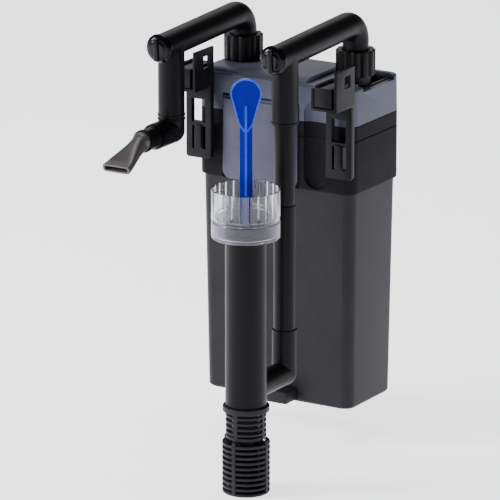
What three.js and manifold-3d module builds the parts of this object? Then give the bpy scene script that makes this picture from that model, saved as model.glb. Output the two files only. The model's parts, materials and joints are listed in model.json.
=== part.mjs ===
// Hang on back aquarium filter.
// A pump head sits on the outside of the tank rim on two toothed arms. Two hangers ride on the arms and
// clamp the glass. A media canister plugs onto the head from below and is held by a front latch. Two pipe
// arms cross the rim: one ends in a duckbill nozzle, the other in a surface skimmer with a strainer.
//
// Millimetres, +Z up. The tank is on the -Y side. The origin is on the tank rim, midway between the two
// hangers, at the front plane of the head.
import * as THREE from 'three';
import { mergeVertices } from 'three/addons/utils/BufferGeometryUtils.js';
import Module from 'manifold-3d';

const wasm = await Module();
wasm.setup();

// ---- driving dimensions ------------------------------------------------------------------------------

const gap = 0.3;                 // clearance left between pieces that touch

// head and canister, seen from above as rounded rectangles with their front face on Y = 0
const bodyWidth = 136.4;
const bodyDepth = 72.8;
const bodyCentreY = bodyDepth / 2;
const cornerRadius = 8;
const bandWall = 5.4;
const headTop = 7;
const greyBottom = -21.7;
const seamLevel = -33;
const skirtBottom = -74.5;
const canisterBottom = -244.7;
const stepInset = 1.85;          // the lower canister is this much smaller all round than the skirt
const canisterDraft = 2.1;       // and loses this much more on each side down to its bottom
const canisterWall = 2.5;

// front latch and finger recess
const latchLeft = -45;
const latchRight = 20.4;
const latchTop = -11.5;
const latchPinY = 2;
const recessCentreX = 36.3;
const recessHalfWidth = 10.7;
const recessDepth = 3.8;
const recessTop = -4.8;
const recessBottom = -73;

// pipe arms
const pipeX = 49.3;
const portY = 36.2;
const legY = -67.6;
const outletArmLevel = 43.5;     // height of an arm's axis over its leg
const inletArmLevel = 46.9;
const armTilt = 2.4;             // degrees that both arms fall towards the tank
const pipeRadius = 10;
const pipeBore = 8.3;
const backElbowRadius = 14;
const armEndY = -82;
const inletLegEnd = -5.4;
const outletLegEnd = -12.2;

// union nuts, port spigots
const nutBottom = 10.8;
const nutTop = 30.5;
const nutRadius = 15;
const fluteCount = 12;
const portRadius = 12.2;
const portTop = 21;

// outlet
const outletLevel = -23;
const elbowEndY = -92.6;
const ballY = -109;
const ballRadius = 7.4;
const nozzleLength = 38;
const nozzlePitch = 20;          // degrees below level

// inlet drop pipe, skimmer tower and strainer
const dropRadius = 8;
const lowerPipeTop = -66.9;
const socketTop = -162.9;
const bottomLevel = -197;
const towerY = -122.8;
const towerRadius = 15.4;
const towerBore = 13.4;
const towerTop = -68;
const towerBottom = -206.6;
const cupRadius = 25.5;
const cupTop = -65.4;
const cupBottom = -78.6;
const combTop = -41.7;
const combPanels = 24;
const handleTurn = 31.2;         // degrees; the handle can be left at any angle
const cageRadius = 15.1;
const sleeveTop = -232;
const sleeveBottom = -274;
const sleeveRadius = 17.8;

// hangers
const hangerX = 61.5;
const hangerHalfWidth = 11;
const hangerBackY = -5;
const plateThickness = 4.8;
const boxFrontY = -32;
const hangerBottom = -59.2;
const boxFloor = -2.5;
const sideWallTop = 28.5;
const armTop = 17;
const seatStep = 0.4;            // the rim seat stands this much below the rest of the arm

// pump
const pumpX = -8;
const rotorRadius = 6.4;
const shaftRadius = 1;

// ---- helpers -----------------------------------------------------------------------------------------

const degrees = Math.PI / 180;
const roundSides = 16;           // sides of an ordinary round piece
const fineSides = 20;            // sides of the skimmer's large rounds
const smallSides = 10;           // sides of pins, screws and shafts

// closed geometry -> manifold solid, with its faces turned outward
function solid(geometry) {
  const bare = geometry.clone();
  bare.deleteAttribute('normal');
  bare.deleteAttribute('uv');
  const merged = mergeVertices(bare, 1e-4);
  const points = merged.attributes.position.array;
  const faces = Uint32Array.from(merged.index.array);
  let volume = 0;
  const a = new THREE.Vector3();
  const b = new THREE.Vector3();
  const c = new THREE.Vector3();
  for (let i = 0; i < faces.length; i += 3) {
    a.fromArray(points, faces[i] * 3);
    b.fromArray(points, faces[i + 1] * 3);
    c.fromArray(points, faces[i + 2] * 3);
    volume += a.dot(b.cross(c));
  }
  if (volume < 0) {
    for (let i = 0; i < faces.length; i += 3) {
      [faces[i], faces[i + 1]] = [faces[i + 1], faces[i]];
    }
  }
  return new wasm.Manifold(new wasm.Mesh({
    numProp: 3,
    vertProperties: Float32Array.from(points),
    triVerts: faces,
  }));
}

function join(...solids) {
  return solids.reduce((whole, next) => whole.add(next));
}

function cut(base, ...tools) {
  return tools.reduce((whole, next) => whole.subtract(next), base);
}

function box(x0, x1, y0, y1, z0, z1) {
  const geometry = new THREE.BoxGeometry(x1 - x0, y1 - y0, z1 - z0);
  geometry.translate((x0 + x1) / 2, (y0 + y1) / 2, (z0 + z1) / 2);
  return solid(geometry);
}

// straight rod between two points
function rod(from, to, radius, sides = roundSides) {
  const start = new THREE.Vector3(...from);
  const end = new THREE.Vector3(...to);
  const along = end.clone().sub(start);
  const geometry = new THREE.CylinderGeometry(radius, radius, along.length(), sides);
  const turn = new THREE.Quaternion().setFromUnitVectors(new THREE.Vector3(0, 1, 0), along.normalize());
  geometry.applyQuaternion(turn);
  geometry.translate((from[0] + to[0]) / 2, (from[1] + to[1]) / 2, (from[2] + to[2]) / 2);
  return solid(geometry);
}

function ball(centre, radius) {
  const geometry = new THREE.SphereGeometry(radius, roundSides, roundSides / 2);
  geometry.translate(...centre);
  return solid(geometry);
}

// turned piece: profile is a closed list of [radius, height], about a vertical axis through (x, y)
function turned(profile, x, y, sides = roundSides) {
  const outline = [...profile, profile[0]].map(([r, z]) => new THREE.Vector2(r, z));
  const geometry = new THREE.LatheGeometry(outline, sides);
  geometry.rotateX(Math.PI / 2);
  geometry.translate(x, y, 0);
  return solid(geometry);
}

function tube(x, y, outer, inner, z0, z1, sides = roundSides) {
  return turned([[inner, z0], [outer, z0], [outer, z1], [inner, z1]], x, y, sides);
}

function roundedOutline(width, height, radius) {
  const w = width / 2;
  const h = height / 2;
  const shape = new THREE.Shape();
  shape.moveTo(-w + radius, -h);
  shape.lineTo(w - radius, -h);
  shape.absarc(w - radius, -h + radius, radius, -Math.PI / 2, 0);
  shape.lineTo(w, h - radius);
  shape.absarc(w - radius, h - radius, radius, 0, Math.PI / 2);
  shape.lineTo(-w + radius, h);
  shape.absarc(-w + radius, h - radius, radius, Math.PI / 2, Math.PI);
  shape.lineTo(-w, -h + radius);
  shape.absarc(-w + radius, -h + radius, radius, Math.PI, Math.PI * 1.5);
  return shape;
}

// upright rounded prism centred on the body; inset shrinks it all round, draft shrinks its low or high end
function prism(inset, z0, z1, draft = 0, narrowEnd = 'bottom') {
  const radius = Math.max(cornerRadius - inset, 1.5);
  const shape = roundedOutline(bodyWidth - 2 * inset, bodyDepth - 2 * inset, radius);
  const geometry = new THREE.ExtrudeGeometry(shape, { depth: z1 - z0, bevelEnabled: false, curveSegments: 3 });
  const position = geometry.attributes.position;
  for (let i = 0; i < position.count; i += 1) {
    const t = position.getZ(i) / (z1 - z0);
    const shrink = draft * (narrowEnd === 'bottom' ? 1 - t : t);
    position.setX(i, position.getX(i) * (1 - shrink / (bodyWidth / 2)));
    position.setY(i, position.getY(i) * (1 - shrink / (bodyDepth / 2)));
  }
  geometry.translate(0, bodyCentreY, z0);
  return solid(geometry);
}

// path through a list of points, with one sweep step for each stretch between two of them
class PipePath extends THREE.Curve {
  constructor(points) {
    super();
    this.points = points.map((point) => new THREE.Vector3(...point));
  }

  getPoint(t, target = new THREE.Vector3()) {
    const place = Math.min(Math.max(t, 0), 1) * (this.points.length - 1);
    const index = Math.min(Math.floor(place), this.points.length - 2);
    return target.lerpVectors(this.points[index], this.points[index + 1], place - index);
  }

  getUtoTmapping(u) {
    return u;
  }
}

function circleShape(radius, sides) {
  const points = [];
  for (let i = 0; i < sides; i += 1) {
    const angle = (i / sides) * 2 * Math.PI;
    points.push(new THREE.Vector2(radius * Math.cos(angle), radius * Math.sin(angle)));
  }
  return new THREE.Shape(points);
}

// height of a pipe arm's axis at y, for an arm that is at level over its leg
function armAxis(level, y) {
  return level + (y - legY) * Math.tan(armTilt * degrees);
}

// pipe that rises over a port from z0, bends forward and runs down its slight slope to frontY
function bentPipe(x, z0, level, frontY, radius) {
  const points = [[x, portY, z0]];
  const bendSteps = 6;
  const bendAngle = (90 + armTilt) * degrees;
  const bendEndY = portY - backElbowRadius * (1 - Math.cos(bendAngle));
  const bendStart = armAxis(level, bendEndY) - backElbowRadius * Math.sin(bendAngle);
  for (let i = 0; i <= bendSteps; i += 1) {
    const angle = (i / bendSteps) * bendAngle;
    const forward = backElbowRadius * (1 - Math.cos(angle));
    points.push([x, portY - forward, bendStart + backElbowRadius * Math.sin(angle)]);
  }
  points.push([x, frontY, armAxis(level, frontY)]);
  const options = { steps: points.length - 1, extrudePath: new PipePath(points), bevelEnabled: false };
  return solid(new THREE.ExtrudeGeometry(circleShape(radius, roundSides), options));
}

// outline given in the X-Z plane, extruded from y0 to y1
function plateXZ(shape, y0, y1, curveSegments = 4) {
  const options = { depth: y1 - y0, bevelEnabled: false, curveSegments };
  const geometry = new THREE.ExtrudeGeometry(shape, options);
  geometry.rotateX(Math.PI / 2);
  geometry.translate(0, y1, 0);
  return solid(geometry);
}

const group = new THREE.Group();
group.name = 'hang_on_back_filter';

function add(name, piece, material) {
  const mesh = piece.getMesh();
  const geometry = new THREE.BufferGeometry();
  geometry.setAttribute('position', new THREE.BufferAttribute(mesh.vertProperties, 3));
  geometry.setIndex(new THREE.BufferAttribute(mesh.triVerts, 1));
  geometry.computeVertexNormals();
  const part = new THREE.Mesh(geometry, new THREE.MeshStandardMaterial(material));
  part.name = name;
  group.add(part);
}

// ---- finishes ----------------------------------------------------------------------------------------

const grey = { color: 0x6a6a78, roughness: 0.42, metalness: 0 };
const black = { color: 0x1e1d21, roughness: 0.5, metalness: 0 };
const glossBlack = { color: 0x19191c, roughness: 0.28, metalness: 0 };
const smoky = { color: 0x3a3c42, roughness: 0.12, metalness: 0 };
const blue = { color: 0x1230c8, roughness: 0.3, metalness: 0 };
const clear = { color: 0xdfe3e6, roughness: 0.08, metalness: 0, transparent: true, opacity: 0.4 };
const frosted = { color: 0xc9cdd2, roughness: 0.5, metalness: 0, transparent: true, opacity: 0.75 };
const rubber = { color: 0x101012, roughness: 0.8, metalness: 0 };
const steel = { color: 0xb4b6ba, roughness: 0.3, metalness: 1 };
const ceramic = { color: 0xe9e6dc, roughness: 0.4, metalness: 0 };
const magnet = { color: 0x2c2b2d, roughness: 0.6, metalness: 0.3 };
const sponge = { color: 0x27343c, roughness: 1, metalness: 0 };
const wool = { color: 0xe6e8e6, roughness: 1, metalness: 0 };

// ---- head --------------------------------------------------------------------------------------------

// pocket across the front for the latch, its knuckle groove and the holes for its pin
const latchPocket = join(
  box(latchLeft - 1, latchRight + 1, -3, 2.6, skirtBottom - gap, latchTop + 3.3),
  box(latchLeft - 1, latchRight + 1, 0, 4.8, latchTop - 3, latchTop + 3),
);
const pinHoles = rod(
  [latchLeft - 4.5, latchPinY, latchTop],
  [latchRight + 4.5, latchPinY, latchTop],
  1.15,
  smallSides,
);

// finger recess: an upright capsule, flattened front to back, that crosses head, band and skirt
const recessGeometry = new THREE.CapsuleGeometry(
  recessHalfWidth,
  recessTop - recessBottom - 2 * recessHalfWidth,
  4,
  16,
);
recessGeometry.rotateX(Math.PI / 2);
recessGeometry.scale(1, recessDepth / recessHalfWidth, 1);
recessGeometry.translate(recessCentreX, 0, (recessTop + recessBottom) / 2);
const fingerRecess = solid(recessGeometry);

// cover: a shell open below, with a low hump on its left and centre and a side trough on its right
const humpWidth = 90;
const humpRise = 3.5;
const humpShape = new THREE.Shape();
humpShape.moveTo(2.5, headTop - 1);
humpShape.quadraticCurveTo(5, headTop + humpRise, 17, headTop + humpRise);
humpShape.lineTo(56, headTop + humpRise);
humpShape.quadraticCurveTo(67, headTop + humpRise, 69.5, headTop - 1);
const humpOptions = { depth: humpWidth, bevelEnabled: false, curveSegments: 5 };
const humpGeometry = new THREE.ExtrudeGeometry(humpShape, humpOptions);
humpGeometry.rotateX(Math.PI / 2);
humpGeometry.rotateZ(Math.PI / 2);
humpGeometry.translate(-64, 0, 0);

const troughFloor = -2;
const troughLeft = 45;
const troughRight = 63;
const troughFront = 22;
const troughBack = 66;
const troughOpening = join(
  box(troughLeft, troughRight, troughFront, troughBack, troughFloor - 2, headTop + 5),
  box(troughRight - 3, bodyWidth / 2 + 2, troughFront - 6, troughBack - 3, headTop - 4, headTop + 5),
);
let cover = join(prism(0, greyBottom + gap, headTop, 0.8, 'top'), solid(humpGeometry));
cover = cut(
  cover,
  prism(bandWall + 0.4, greyBottom - 1, headTop - 2.6),
  rod([-pipeX, portY, 0], [-pipeX, portY, 20], portRadius + gap),
  rod([pipeX, portY, 0], [pipeX, portY, 20], portRadius + gap),
  troughOpening,
  latchPocket,
  pinHoles,
  fingerRecess,
);
for (const side of [-1, 1]) {
  const x = side * hangerX;
  cover = cut(cover, box(x - 7.3, x + 4.3, -2, 12, 0.7, 5.3 + gap));
}
const glandX = -20;
const glandLevel = -8;
cover = cut(cover, rod([glandX, 60, glandLevel], [glandX, 80, glandLevel], 4.3, 12));
add('head_cover', cover, grey);

// black tray that lines the side trough
const tray = cut(
  box(troughLeft + gap, troughRight - gap, troughFront + gap, troughBack - gap, troughFloor - 2, headTop - 3),
  box(troughLeft + 2, troughRight - 2, troughFront + 2, troughBack - 2, troughFloor, headTop),
  rod([pipeX, portY, -20], [pipeX, portY, 20], portRadius + gap),
);
add('top_tray', tray, black);

// base: black band, a plate across it and a tongue that plugs into the canister
const plateTop = greyBottom;
const plateBottom = greyBottom - 3;
const tongueInset = bandWall + 0.6;
const tongueBottom = seamLevel - 9;
let base = cut(
  prism(0, seamLevel, plateTop),
  prism(bandWall, seamLevel + 2, plateBottom),
  prism(tongueInset + 2, seamLevel - 1, seamLevel + 2.5),
);
base = join(base, cut(
  prism(tongueInset, tongueBottom, seamLevel + 1),
  prism(tongueInset + 2, tongueBottom - 1, seamLevel + 2),
));
const wellRadius = 9;
base = cut(
  base,
  latchPocket,
  fingerRecess,
  rod([pumpX, bodyCentreY, -60], [pumpX, bodyCentreY, 0], wellRadius + gap),
  rod([-pipeX, portY, -60], [-pipeX, portY, 0], pipeRadius + gap),
  rod([pipeX, portY, -60], [pipeX, portY, 0], pipeRadius + gap),
);
const screwPlaces = [[-58, 58], [28, 60], [-30, 12], [58, 14]];
for (const [x, y] of screwPlaces) {
  base = cut(base, rod([x, y, -40], [x, y, -10], 1.9, smallSides));
}
add('head_base', base, black);

screwPlaces.forEach(([x, y], index) => {
  const screw = turned([
    [0, plateBottom - 2.2],
    [2.8, plateBottom - 2.2],
    [2.8, plateBottom - gap],
    [1.5, plateBottom - gap],
    [1.5, plateTop + 5],
    [0, plateTop + 6.5],
  ], x, y, smallSides);
  add(`head_screw_${index + 1}`, screw, steel);
});

const pinLeft = [latchLeft - 4, latchPinY, latchTop];
const pinRight = [latchRight + 4, latchPinY, latchTop];
add('latch_pin', rod(pinLeft, pinRight, 0.85, smallSides), steel);

// cord gland at the back: a hollow stub with a nut-like collar
const gland = cut(
  join(
    rod([glandX, 64, glandLevel], [glandX, bodyDepth + 6, glandLevel], 4, 12),
    rod([glandX, bodyDepth + gap, glandLevel], [glandX, bodyDepth + 4.5, glandLevel], 6.5, 6),
  ),
  rod([glandX, 60, glandLevel], [glandX, 90, glandLevel], 2.6, smallSides),
);
add('cord_gland', gland, black);

// ---- pump --------------------------------------------------------------------------------------------

const volutesTop = plateBottom - 2.4;
const volutesBottom = volutesTop - 15;
const coverLevel = volutesBottom - gap;

// resin block with the coil, standing on the base plate round the rotor well
const stator = cut(
  box(pumpX - 22, pumpX + 22, bodyCentreY - 20, bodyCentreY + 20, plateTop + gap, headTop - 3.5),
  rod([pumpX, bodyCentreY, -40], [pumpX, bodyCentreY, headTop - 6], wellRadius + gap),
);
add('motor_stator', stator, black);

// rotor well: a cup with its closed end up and a flange under the base plate
add('rotor_well', turned([
  [0, headTop - 8],
  [wellRadius - 1.6, headTop - 8],
  [wellRadius - 1.6, plateBottom - 2],
  [16.5, plateBottom - 2],
  [16.5, plateBottom - gap],
  [wellRadius, plateBottom - gap],
  [wellRadius, headTop - 6.4],
  [0, headTop - 6.4],
], pumpX, bodyCentreY), black);

const shaftTop = headTop - 9;
add('impeller_shaft', rod(
  [pumpX, bodyCentreY, volutesBottom + 2.6],
  [pumpX, bodyCentreY, shaftTop],
  shaftRadius,
  smallSides,
), ceramic);
add('shaft_bush_top', tube(pumpX, bodyCentreY, 3, 1.3, shaftTop - 4, shaftTop, smallSides), rubber);
const lowBush = tube(pumpX, bodyCentreY, 3, 1.3, volutesBottom + 2.6, volutesBottom + 5, smallSides);
add('shaft_bush_bottom', lowBush, rubber);

// rotor: a magnet with six straight blades below it
const magnetBottom = volutesTop + 1;
let rotor = join(
  rod([pumpX, bodyCentreY, magnetBottom], [pumpX, bodyCentreY, shaftTop - 4.5], rotorRadius),
  rod([pumpX, bodyCentreY, volutesBottom + 5.5], [pumpX, bodyCentreY, magnetBottom + 1], 3.6, smallSides),
);
for (let i = 0; i < 3; i += 1) {
  const blade = new THREE.BoxGeometry(25, 1.6, 8);
  blade.rotateZ(i * 60 * degrees);
  blade.translate(pumpX, bodyCentreY, volutesBottom + 9.8);
  rotor = join(rotor, solid(blade));
}
rotor = cut(rotor, rod([pumpX, bodyCentreY, -80], [pumpX, bodyCentreY, 20], shaftRadius + gap, smallSides));
add('impeller_rotor', rotor, magnet);

// volute: a chamber with a duct that leads to the outlet port
let volute = join(
  rod([pumpX, bodyCentreY, volutesBottom], [pumpX, bodyCentreY, volutesTop], 16.5),
  box(-pipeX, pumpX, portY - 8, portY + 8, volutesBottom, volutesTop),
  rod([-pipeX, portY, volutesBottom], [-pipeX, portY, volutesTop], 10),
);
volute = cut(
  volute,
  rod([pumpX, bodyCentreY, volutesBottom + 2.2], [pumpX, bodyCentreY, volutesTop + 1], 14),
  box(-pipeX, pumpX, portY - 6, portY + 6, volutesBottom + 2, volutesTop - 2),
  rod([-pipeX, portY, volutesBottom + 2], [-pipeX, portY, volutesTop + 1], 7.6),
  tube(pumpX, bodyCentreY, 9.5, 4, volutesBottom - 1, volutesBottom + 3),
);
const bushBar = box(
  pumpX - 10,
  pumpX + 10,
  bodyCentreY - 1.2,
  bodyCentreY + 1.2,
  volutesBottom,
  volutesBottom + 2.3,
);
volute = join(volute, bushBar);
add('pump_volute', volute, black);

// cover under the volute, with the suction hole in its middle
add('impeller_cover', tube(pumpX, bodyCentreY, 16.5, 10, coverLevel - 2, coverLevel), black);

// ports: spigots that stand up through the head into the union nuts
function port(x, bottom) {
  return turned([
    [7.6, bottom],
    [pipeRadius, bottom],
    [pipeRadius, headTop - 5],
    [portRadius - 0.8, headTop - 4],
    [portRadius, headTop + 4],
    [portRadius, portTop],
    [7.6, portTop],
  ], x, portY);
}
add('outlet_port', port(-pipeX, volutesTop + gap), black);
add('inlet_port', port(pipeX, plateBottom - 6), black);
add('riser_tube', tube(pipeX, portY, pipeRadius - 0.4, 7.6, -222, plateBottom - 6 - gap), black);

// ---- toothed arms and hangers ------------------------------------------------------------------------

// arm: a bar over the rim with a rack along its left edge, a rim seat over the glass and a tenon into the head
function hangerArm(x) {
  let bar = join(
    box(x - 8.4, x + 6.4, boxFrontY + gap, -gap, seatStep, armTop - 2),
    box(x - 8.4, x + 6.4, hangerBackY + gap, -gap, 0, seatStep + 1),
  );
  for (let y = boxFrontY + 1; y < -4; y += 2.6) {
    const tooth = new THREE.Shape([
      new THREE.Vector2(y, armTop - 2.5),
      new THREE.Vector2(y + 2.3, armTop - 2.5),
      new THREE.Vector2(y + 2.3, armTop - 2),
      new THREE.Vector2(y + 1.6, armTop),
      new THREE.Vector2(y, armTop - 2),
    ]);
    const geometry = new THREE.ExtrudeGeometry(tooth, { depth: 3, bevelEnabled: false });
    geometry.rotateX(Math.PI / 2);
    geometry.rotateZ(Math.PI / 2);
    geometry.translate(x - 8.4, 0, 0);
    bar = join(bar, solid(geometry));
  }
  return join(bar, box(x - 7, x + 4, -1, 11, 1, 5.3));
}

// hanger: a channel that slides on the arm, with a plate that hangs down inside the tank
function hanger(x) {
  const w = hangerHalfWidth;
  const frontY = hangerBackY - plateThickness;
  const outline = new THREE.Shape();
  outline.moveTo(x - w + 1.5, hangerBottom);
  outline.lineTo(x + w - 1.5, hangerBottom);
  outline.lineTo(x + w, hangerBottom + 1.5);
  outline.lineTo(x + w, boxFloor);
  outline.lineTo(x - w, boxFloor);
  outline.lineTo(x - w, hangerBottom + 1.5);
  const windowTop = -13;
  const windowBottom = -31;
  const tongueEnd = -52;
  return cut(
    join(
      plateXZ(outline, frontY, hangerBackY),
      box(x - w, x + w, boxFrontY, hangerBackY, boxFloor, -gap),
      box(x - w, x - w + 2.2, boxFrontY, hangerBackY, boxFloor, armTop - 2.6),
      box(x + w - 2.2, x + w, boxFrontY, hangerBackY, boxFloor, sideWallTop),
      box(x - 3, x + 3, frontY - 1.4, frontY + 1, tongueEnd + 1, windowBottom - 2),
    ),
    box(x - 6.2, x + 6.2, frontY - 3, hangerBackY + 1, windowBottom, windowTop),
    box(x - 5.6, x - 3.6, frontY - 3, hangerBackY + 1, tongueEnd, windowBottom - 3),
    box(x + 3.6, x + 6.2, frontY - 3, hangerBackY + 1, tongueEnd, windowBottom - 3),
    box(x + w - 4, x + w + 1, -20, -11.3, 13.6, 23),
  );
}

for (const [side, x] of [['left', -hangerX], ['right', hangerX]]) {
  add(`hanger_arm_${side}`, hangerArm(x), black);
  add(`hanger_${side}`, hanger(x), black);
}

// ---- front latch -------------------------------------------------------------------------------------

const latchShape = new THREE.Shape();
const latchBottom = skirtBottom + 0.2;
const latchCorner = 7;
latchShape.moveTo(latchLeft, latchTop);
latchShape.lineTo(latchLeft, latchBottom + latchCorner);
latchShape.absarc(latchLeft + latchCorner, latchBottom + latchCorner, latchCorner, Math.PI, Math.PI * 1.5);
latchShape.lineTo(latchRight - latchCorner, latchBottom);
latchShape.absarc(latchRight - latchCorner, latchBottom + latchCorner, latchCorner, -Math.PI / 2, 0);
latchShape.lineTo(latchRight, latchTop);
const latch = cut(
  join(
    plateXZ(latchShape, -1.6, 2),
    rod([latchLeft, latchPinY, latchTop], [latchRight, latchPinY, latchTop], 2.2, 12),
  ),
  rod([latchLeft - 1, latchPinY, latchTop], [latchRight + 1, latchPinY, latchTop], 1.15, smallSides),
);
add('front_latch', latch, grey);

// ---- canister and media ------------------------------------------------------------------------------

const footX = 9;
const footLevel = -238;
const footHalfWidth = 8.5;
const footHalfHeight = 4.6;
const footPocketEnd = 30;
let canister = join(
  prism(0, skirtBottom, seamLevel - gap),
  prism(stepInset, canisterBottom, skirtBottom + 1, canisterDraft),
);
canister = cut(
  canister,
  prism(bandWall - 0.2, skirtBottom, seamLevel + 1),
  prism(stepInset + canisterWall + 0.6, canisterBottom + 3, skirtBottom + 2, canisterDraft),
);
const sealBottom = tongueBottom - 2.6;
const sealLedge = cut(
  prism(bandWall - 0.5, sealBottom - 3, sealBottom - gap),
  prism(tongueInset + 2.4, sealBottom - 4, sealBottom + 1),
);
canister = join(canister, sealLedge, box(
  footX - footHalfWidth - 2.5,
  footX + footHalfWidth + 2.5,
  5,
  footPocketEnd + 2,
  canisterBottom + 1,
  footLevel + footHalfHeight + 3,
));
canister = cut(
  canister,
  latchPocket,
  fingerRecess,
  box(
    footX - footHalfWidth - gap,
    footX + footHalfWidth + gap,
    -5,
    footPocketEnd,
    footLevel - footHalfHeight - gap,
    footLevel + footHalfHeight + gap,
  ),
);
add('canister', canister, black);

// sliding foot that keeps the canister upright against the glass, ribbed like a rack at its free end
let foot = box(
  footX - footHalfWidth,
  footX + footHalfWidth,
  -12,
  18,
  footLevel - footHalfHeight,
  footLevel + footHalfHeight,
);
for (let y = -10; y < 1; y += 3) {
  foot = cut(foot, box(
    footX - footHalfWidth - 1,
    footX - footHalfWidth + 1.2,
    y,
    y + 1.4,
    footLevel - 6,
    footLevel + 6,
  ));
}
add('spacer_foot', foot, black);

// face seal lying on the ledge inside the canister mouth, just under the tongue of the head
add('canister_seal', cut(
  prism(tongueInset, sealBottom, tongueBottom - gap),
  prism(tongueInset + 2, sealBottom - 1, tongueBottom + 1),
), rubber);

const basketLeft = -57;
const basketRight = 34;
const basketFront = 10;
const basketBack = 63;
function basket(z0, z1) {
  let shell = cut(
    box(basketLeft, basketRight, basketFront, basketBack, z0, z1),
    box(basketLeft + 1.8, basketRight - 1.8, basketFront + 1.8, basketBack - 1.8, z0 + 2, z1 + 1),
  );
  for (let x = basketLeft + 8; x < basketRight - 8; x += 12) {
    shell = cut(shell, box(x, x + 6, basketFront + 6, basketBack - 6, z0 - 1, z0 + 3));
  }
  return shell;
}
const lowerBasket = [-226, -158];
const upperBasket = [-157, -89];
add('media_basket_lower', basket(...lowerBasket), black);
add('media_basket_upper', basket(...upperBasket), black);

function pad(z0, z1) {
  const inset = 2.4;
  return box(
    basketLeft + inset,
    basketRight - inset,
    basketFront + inset,
    basketBack - inset,
    z0,
    z1,
  );
}
add('coarse_sponge', pad(lowerBasket[0] + 2.4, lowerBasket[1] - 4), sponge);
add('ceramic_media', pad(upperBasket[0] + 2.4, upperBasket[0] + 38), ceramic);
add('fine_wool', pad(upperBasket[0] + 38.5, upperBasket[1] - 4), wool);

// ---- union nuts, seals and pipe arms -----------------------------------------------------------------

function flutedShape(radius, count, bore) {
  const shape = new THREE.Shape();
  const steps = count * 4;
  for (let i = 0; i < steps; i += 1) {
    const angle = (i / steps) * 2 * Math.PI;
    const r = i % 4 < 2 ? radius : radius - 1;
    const x = r * Math.cos(angle);
    const y = r * Math.sin(angle);
    if (i === 0) {
      shape.moveTo(x, y);
    } else {
      shape.lineTo(x, y);
    }
  }
  shape.holes.push(new THREE.Path(circleShape(bore, roundSides).getPoints()));
  return shape;
}

const flangeBottom = portTop + 1.9;
const flangeTop = flangeBottom + 2.7;
function unionNut(x) {
  const fluted = (bore, z0, z1) => {
    const geometry = new THREE.ExtrudeGeometry(flutedShape(nutRadius, fluteCount, bore), {
      depth: z1 - z0,
      bevelEnabled: false,
    });
    geometry.translate(x, portY, z0);
    return solid(geometry);
  };
  return join(
    fluted(portRadius + 0.4, nutBottom, flangeTop + gap + 0.1),
    fluted(pipeRadius + 0.35, flangeTop + gap, nutTop),
  );
}

// near-level pipe with a rounded elbow down to the port and a straight leg down on the tank side
function pipeArm(x, level, legEnd, legBore) {
  const run = (radius, front, bottom, start) => join(
    bentPipe(x, start, level, front, radius),
    rod([x, legY, level], [x, legY, bottom], radius),
  );
  const outer = join(
    run(pipeRadius, armEndY, legEnd, flangeBottom),
    rod([x, portY, flangeBottom], [x, portY, flangeTop], portRadius - 0.1),
  );
  return cut(outer, run(legBore, armEndY - 1, legEnd - 1, flangeBottom - 1));
}

// puts a piece made at the origin, facing the tank, on the front end of a pipe arm
function onArmEnd(piece, x, level) {
  return piece.rotate([armTilt, 0, 0]).translate([x, armEndY, armAxis(level, armEndY)]);
}

// clean-out cap on the front end of a pipe arm: plug, domed flange and an upright grip
function armCap() {
  const profile = [
    [0, 5.6],
    [5.5, 5.2],
    [9.4, 3.4],
    [11, 1],
    [11, -0.4],
    [pipeBore - 0.4, -0.4],
    [pipeBore - 0.4, -7],
    [0, -7],
  ].map(([r, z]) => new THREE.Vector2(r, z));
  const geometry = new THREE.LatheGeometry(profile, roundSides);
  geometry.rotateX(Math.PI);
  geometry.translate(0, -1.3, 0);
  const grip = box(-1.8, 1.8, -8.2, -3, -8.6, 8.6);
  return join(solid(geometry), grip);
}

const armPlaces = [
  ['outlet', -pipeX, outletArmLevel, outletLegEnd],
  ['inlet', pipeX, inletArmLevel, inletLegEnd],
];
for (const [side, x, level, legEnd] of armPlaces) {
  add(`${side}_union_nut`, unionNut(x), glossBlack);
  add(`${side}_union_seal`, tube(x, portY, 11.6, 8.6, portTop + gap, flangeBottom - gap), rubber);
  add(`${side}_arm`, pipeArm(x, level, legEnd, pipeBore), glossBlack);
  const sealRing = cut(
    rod([0, -0.2, 0], [0, -0.8, 0], pipeRadius),
    rod([0, 1, 0], [0, -2, 0], pipeBore + 0.1),
  );
  add(`${side}_cap_seal`, onArmEnd(sealRing, x, level), rubber);
  add(`${side}_cap`, onArmEnd(armCap(), x, level), smoky);
}

// ---- outlet ------------------------------------------------------------------------------------------

// elbow: socket ring, ball corner and a level tube with a spigot for the nozzle collar
const elbowTop = outletLegEnd - gap;
const elbow = cut(
  join(
    rod([-pipeX, legY, outletLevel], [-pipeX, legY, elbowTop], pipeRadius),
    ball([-pipeX, legY, outletLevel], pipeRadius),
    rod([-pipeX, legY, outletLevel], [-pipeX, elbowEndY, outletLevel], pipeRadius - 0.1),
    rod([-pipeX, legY, outletLevel], [-pipeX, elbowEndY - 6, outletLevel], 6.9),
    rod([-pipeX, legY, elbowTop + 10], [-pipeX, legY, outletLevel], pipeBore - gap),
  ),
  rod([-pipeX, legY, outletLevel], [-pipeX, legY, 20], 6.4),
  ball([-pipeX, legY, outletLevel], 6.4),
  rod([-pipeX, legY, outletLevel], [-pipeX, -120, outletLevel], 5.6),
);
add('outlet_elbow', elbow, glossBlack);

const collar = cut(
  rod([-pipeX, elbowEndY - gap, outletLevel], [-pipeX, ballY + 1, outletLevel], 8.7),
  rod([-pipeX, -80, outletLevel], [-pipeX, elbowEndY - 6.5, outletLevel], 7.2),
  rod([-pipeX, -80, outletLevel], [-pipeX, -112, outletLevel], 5.6),
  ball([-pipeX, ballY, outletLevel], ballRadius + 1.5 * gap),
);
add('nozzle_collar', collar, glossBlack);

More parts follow.
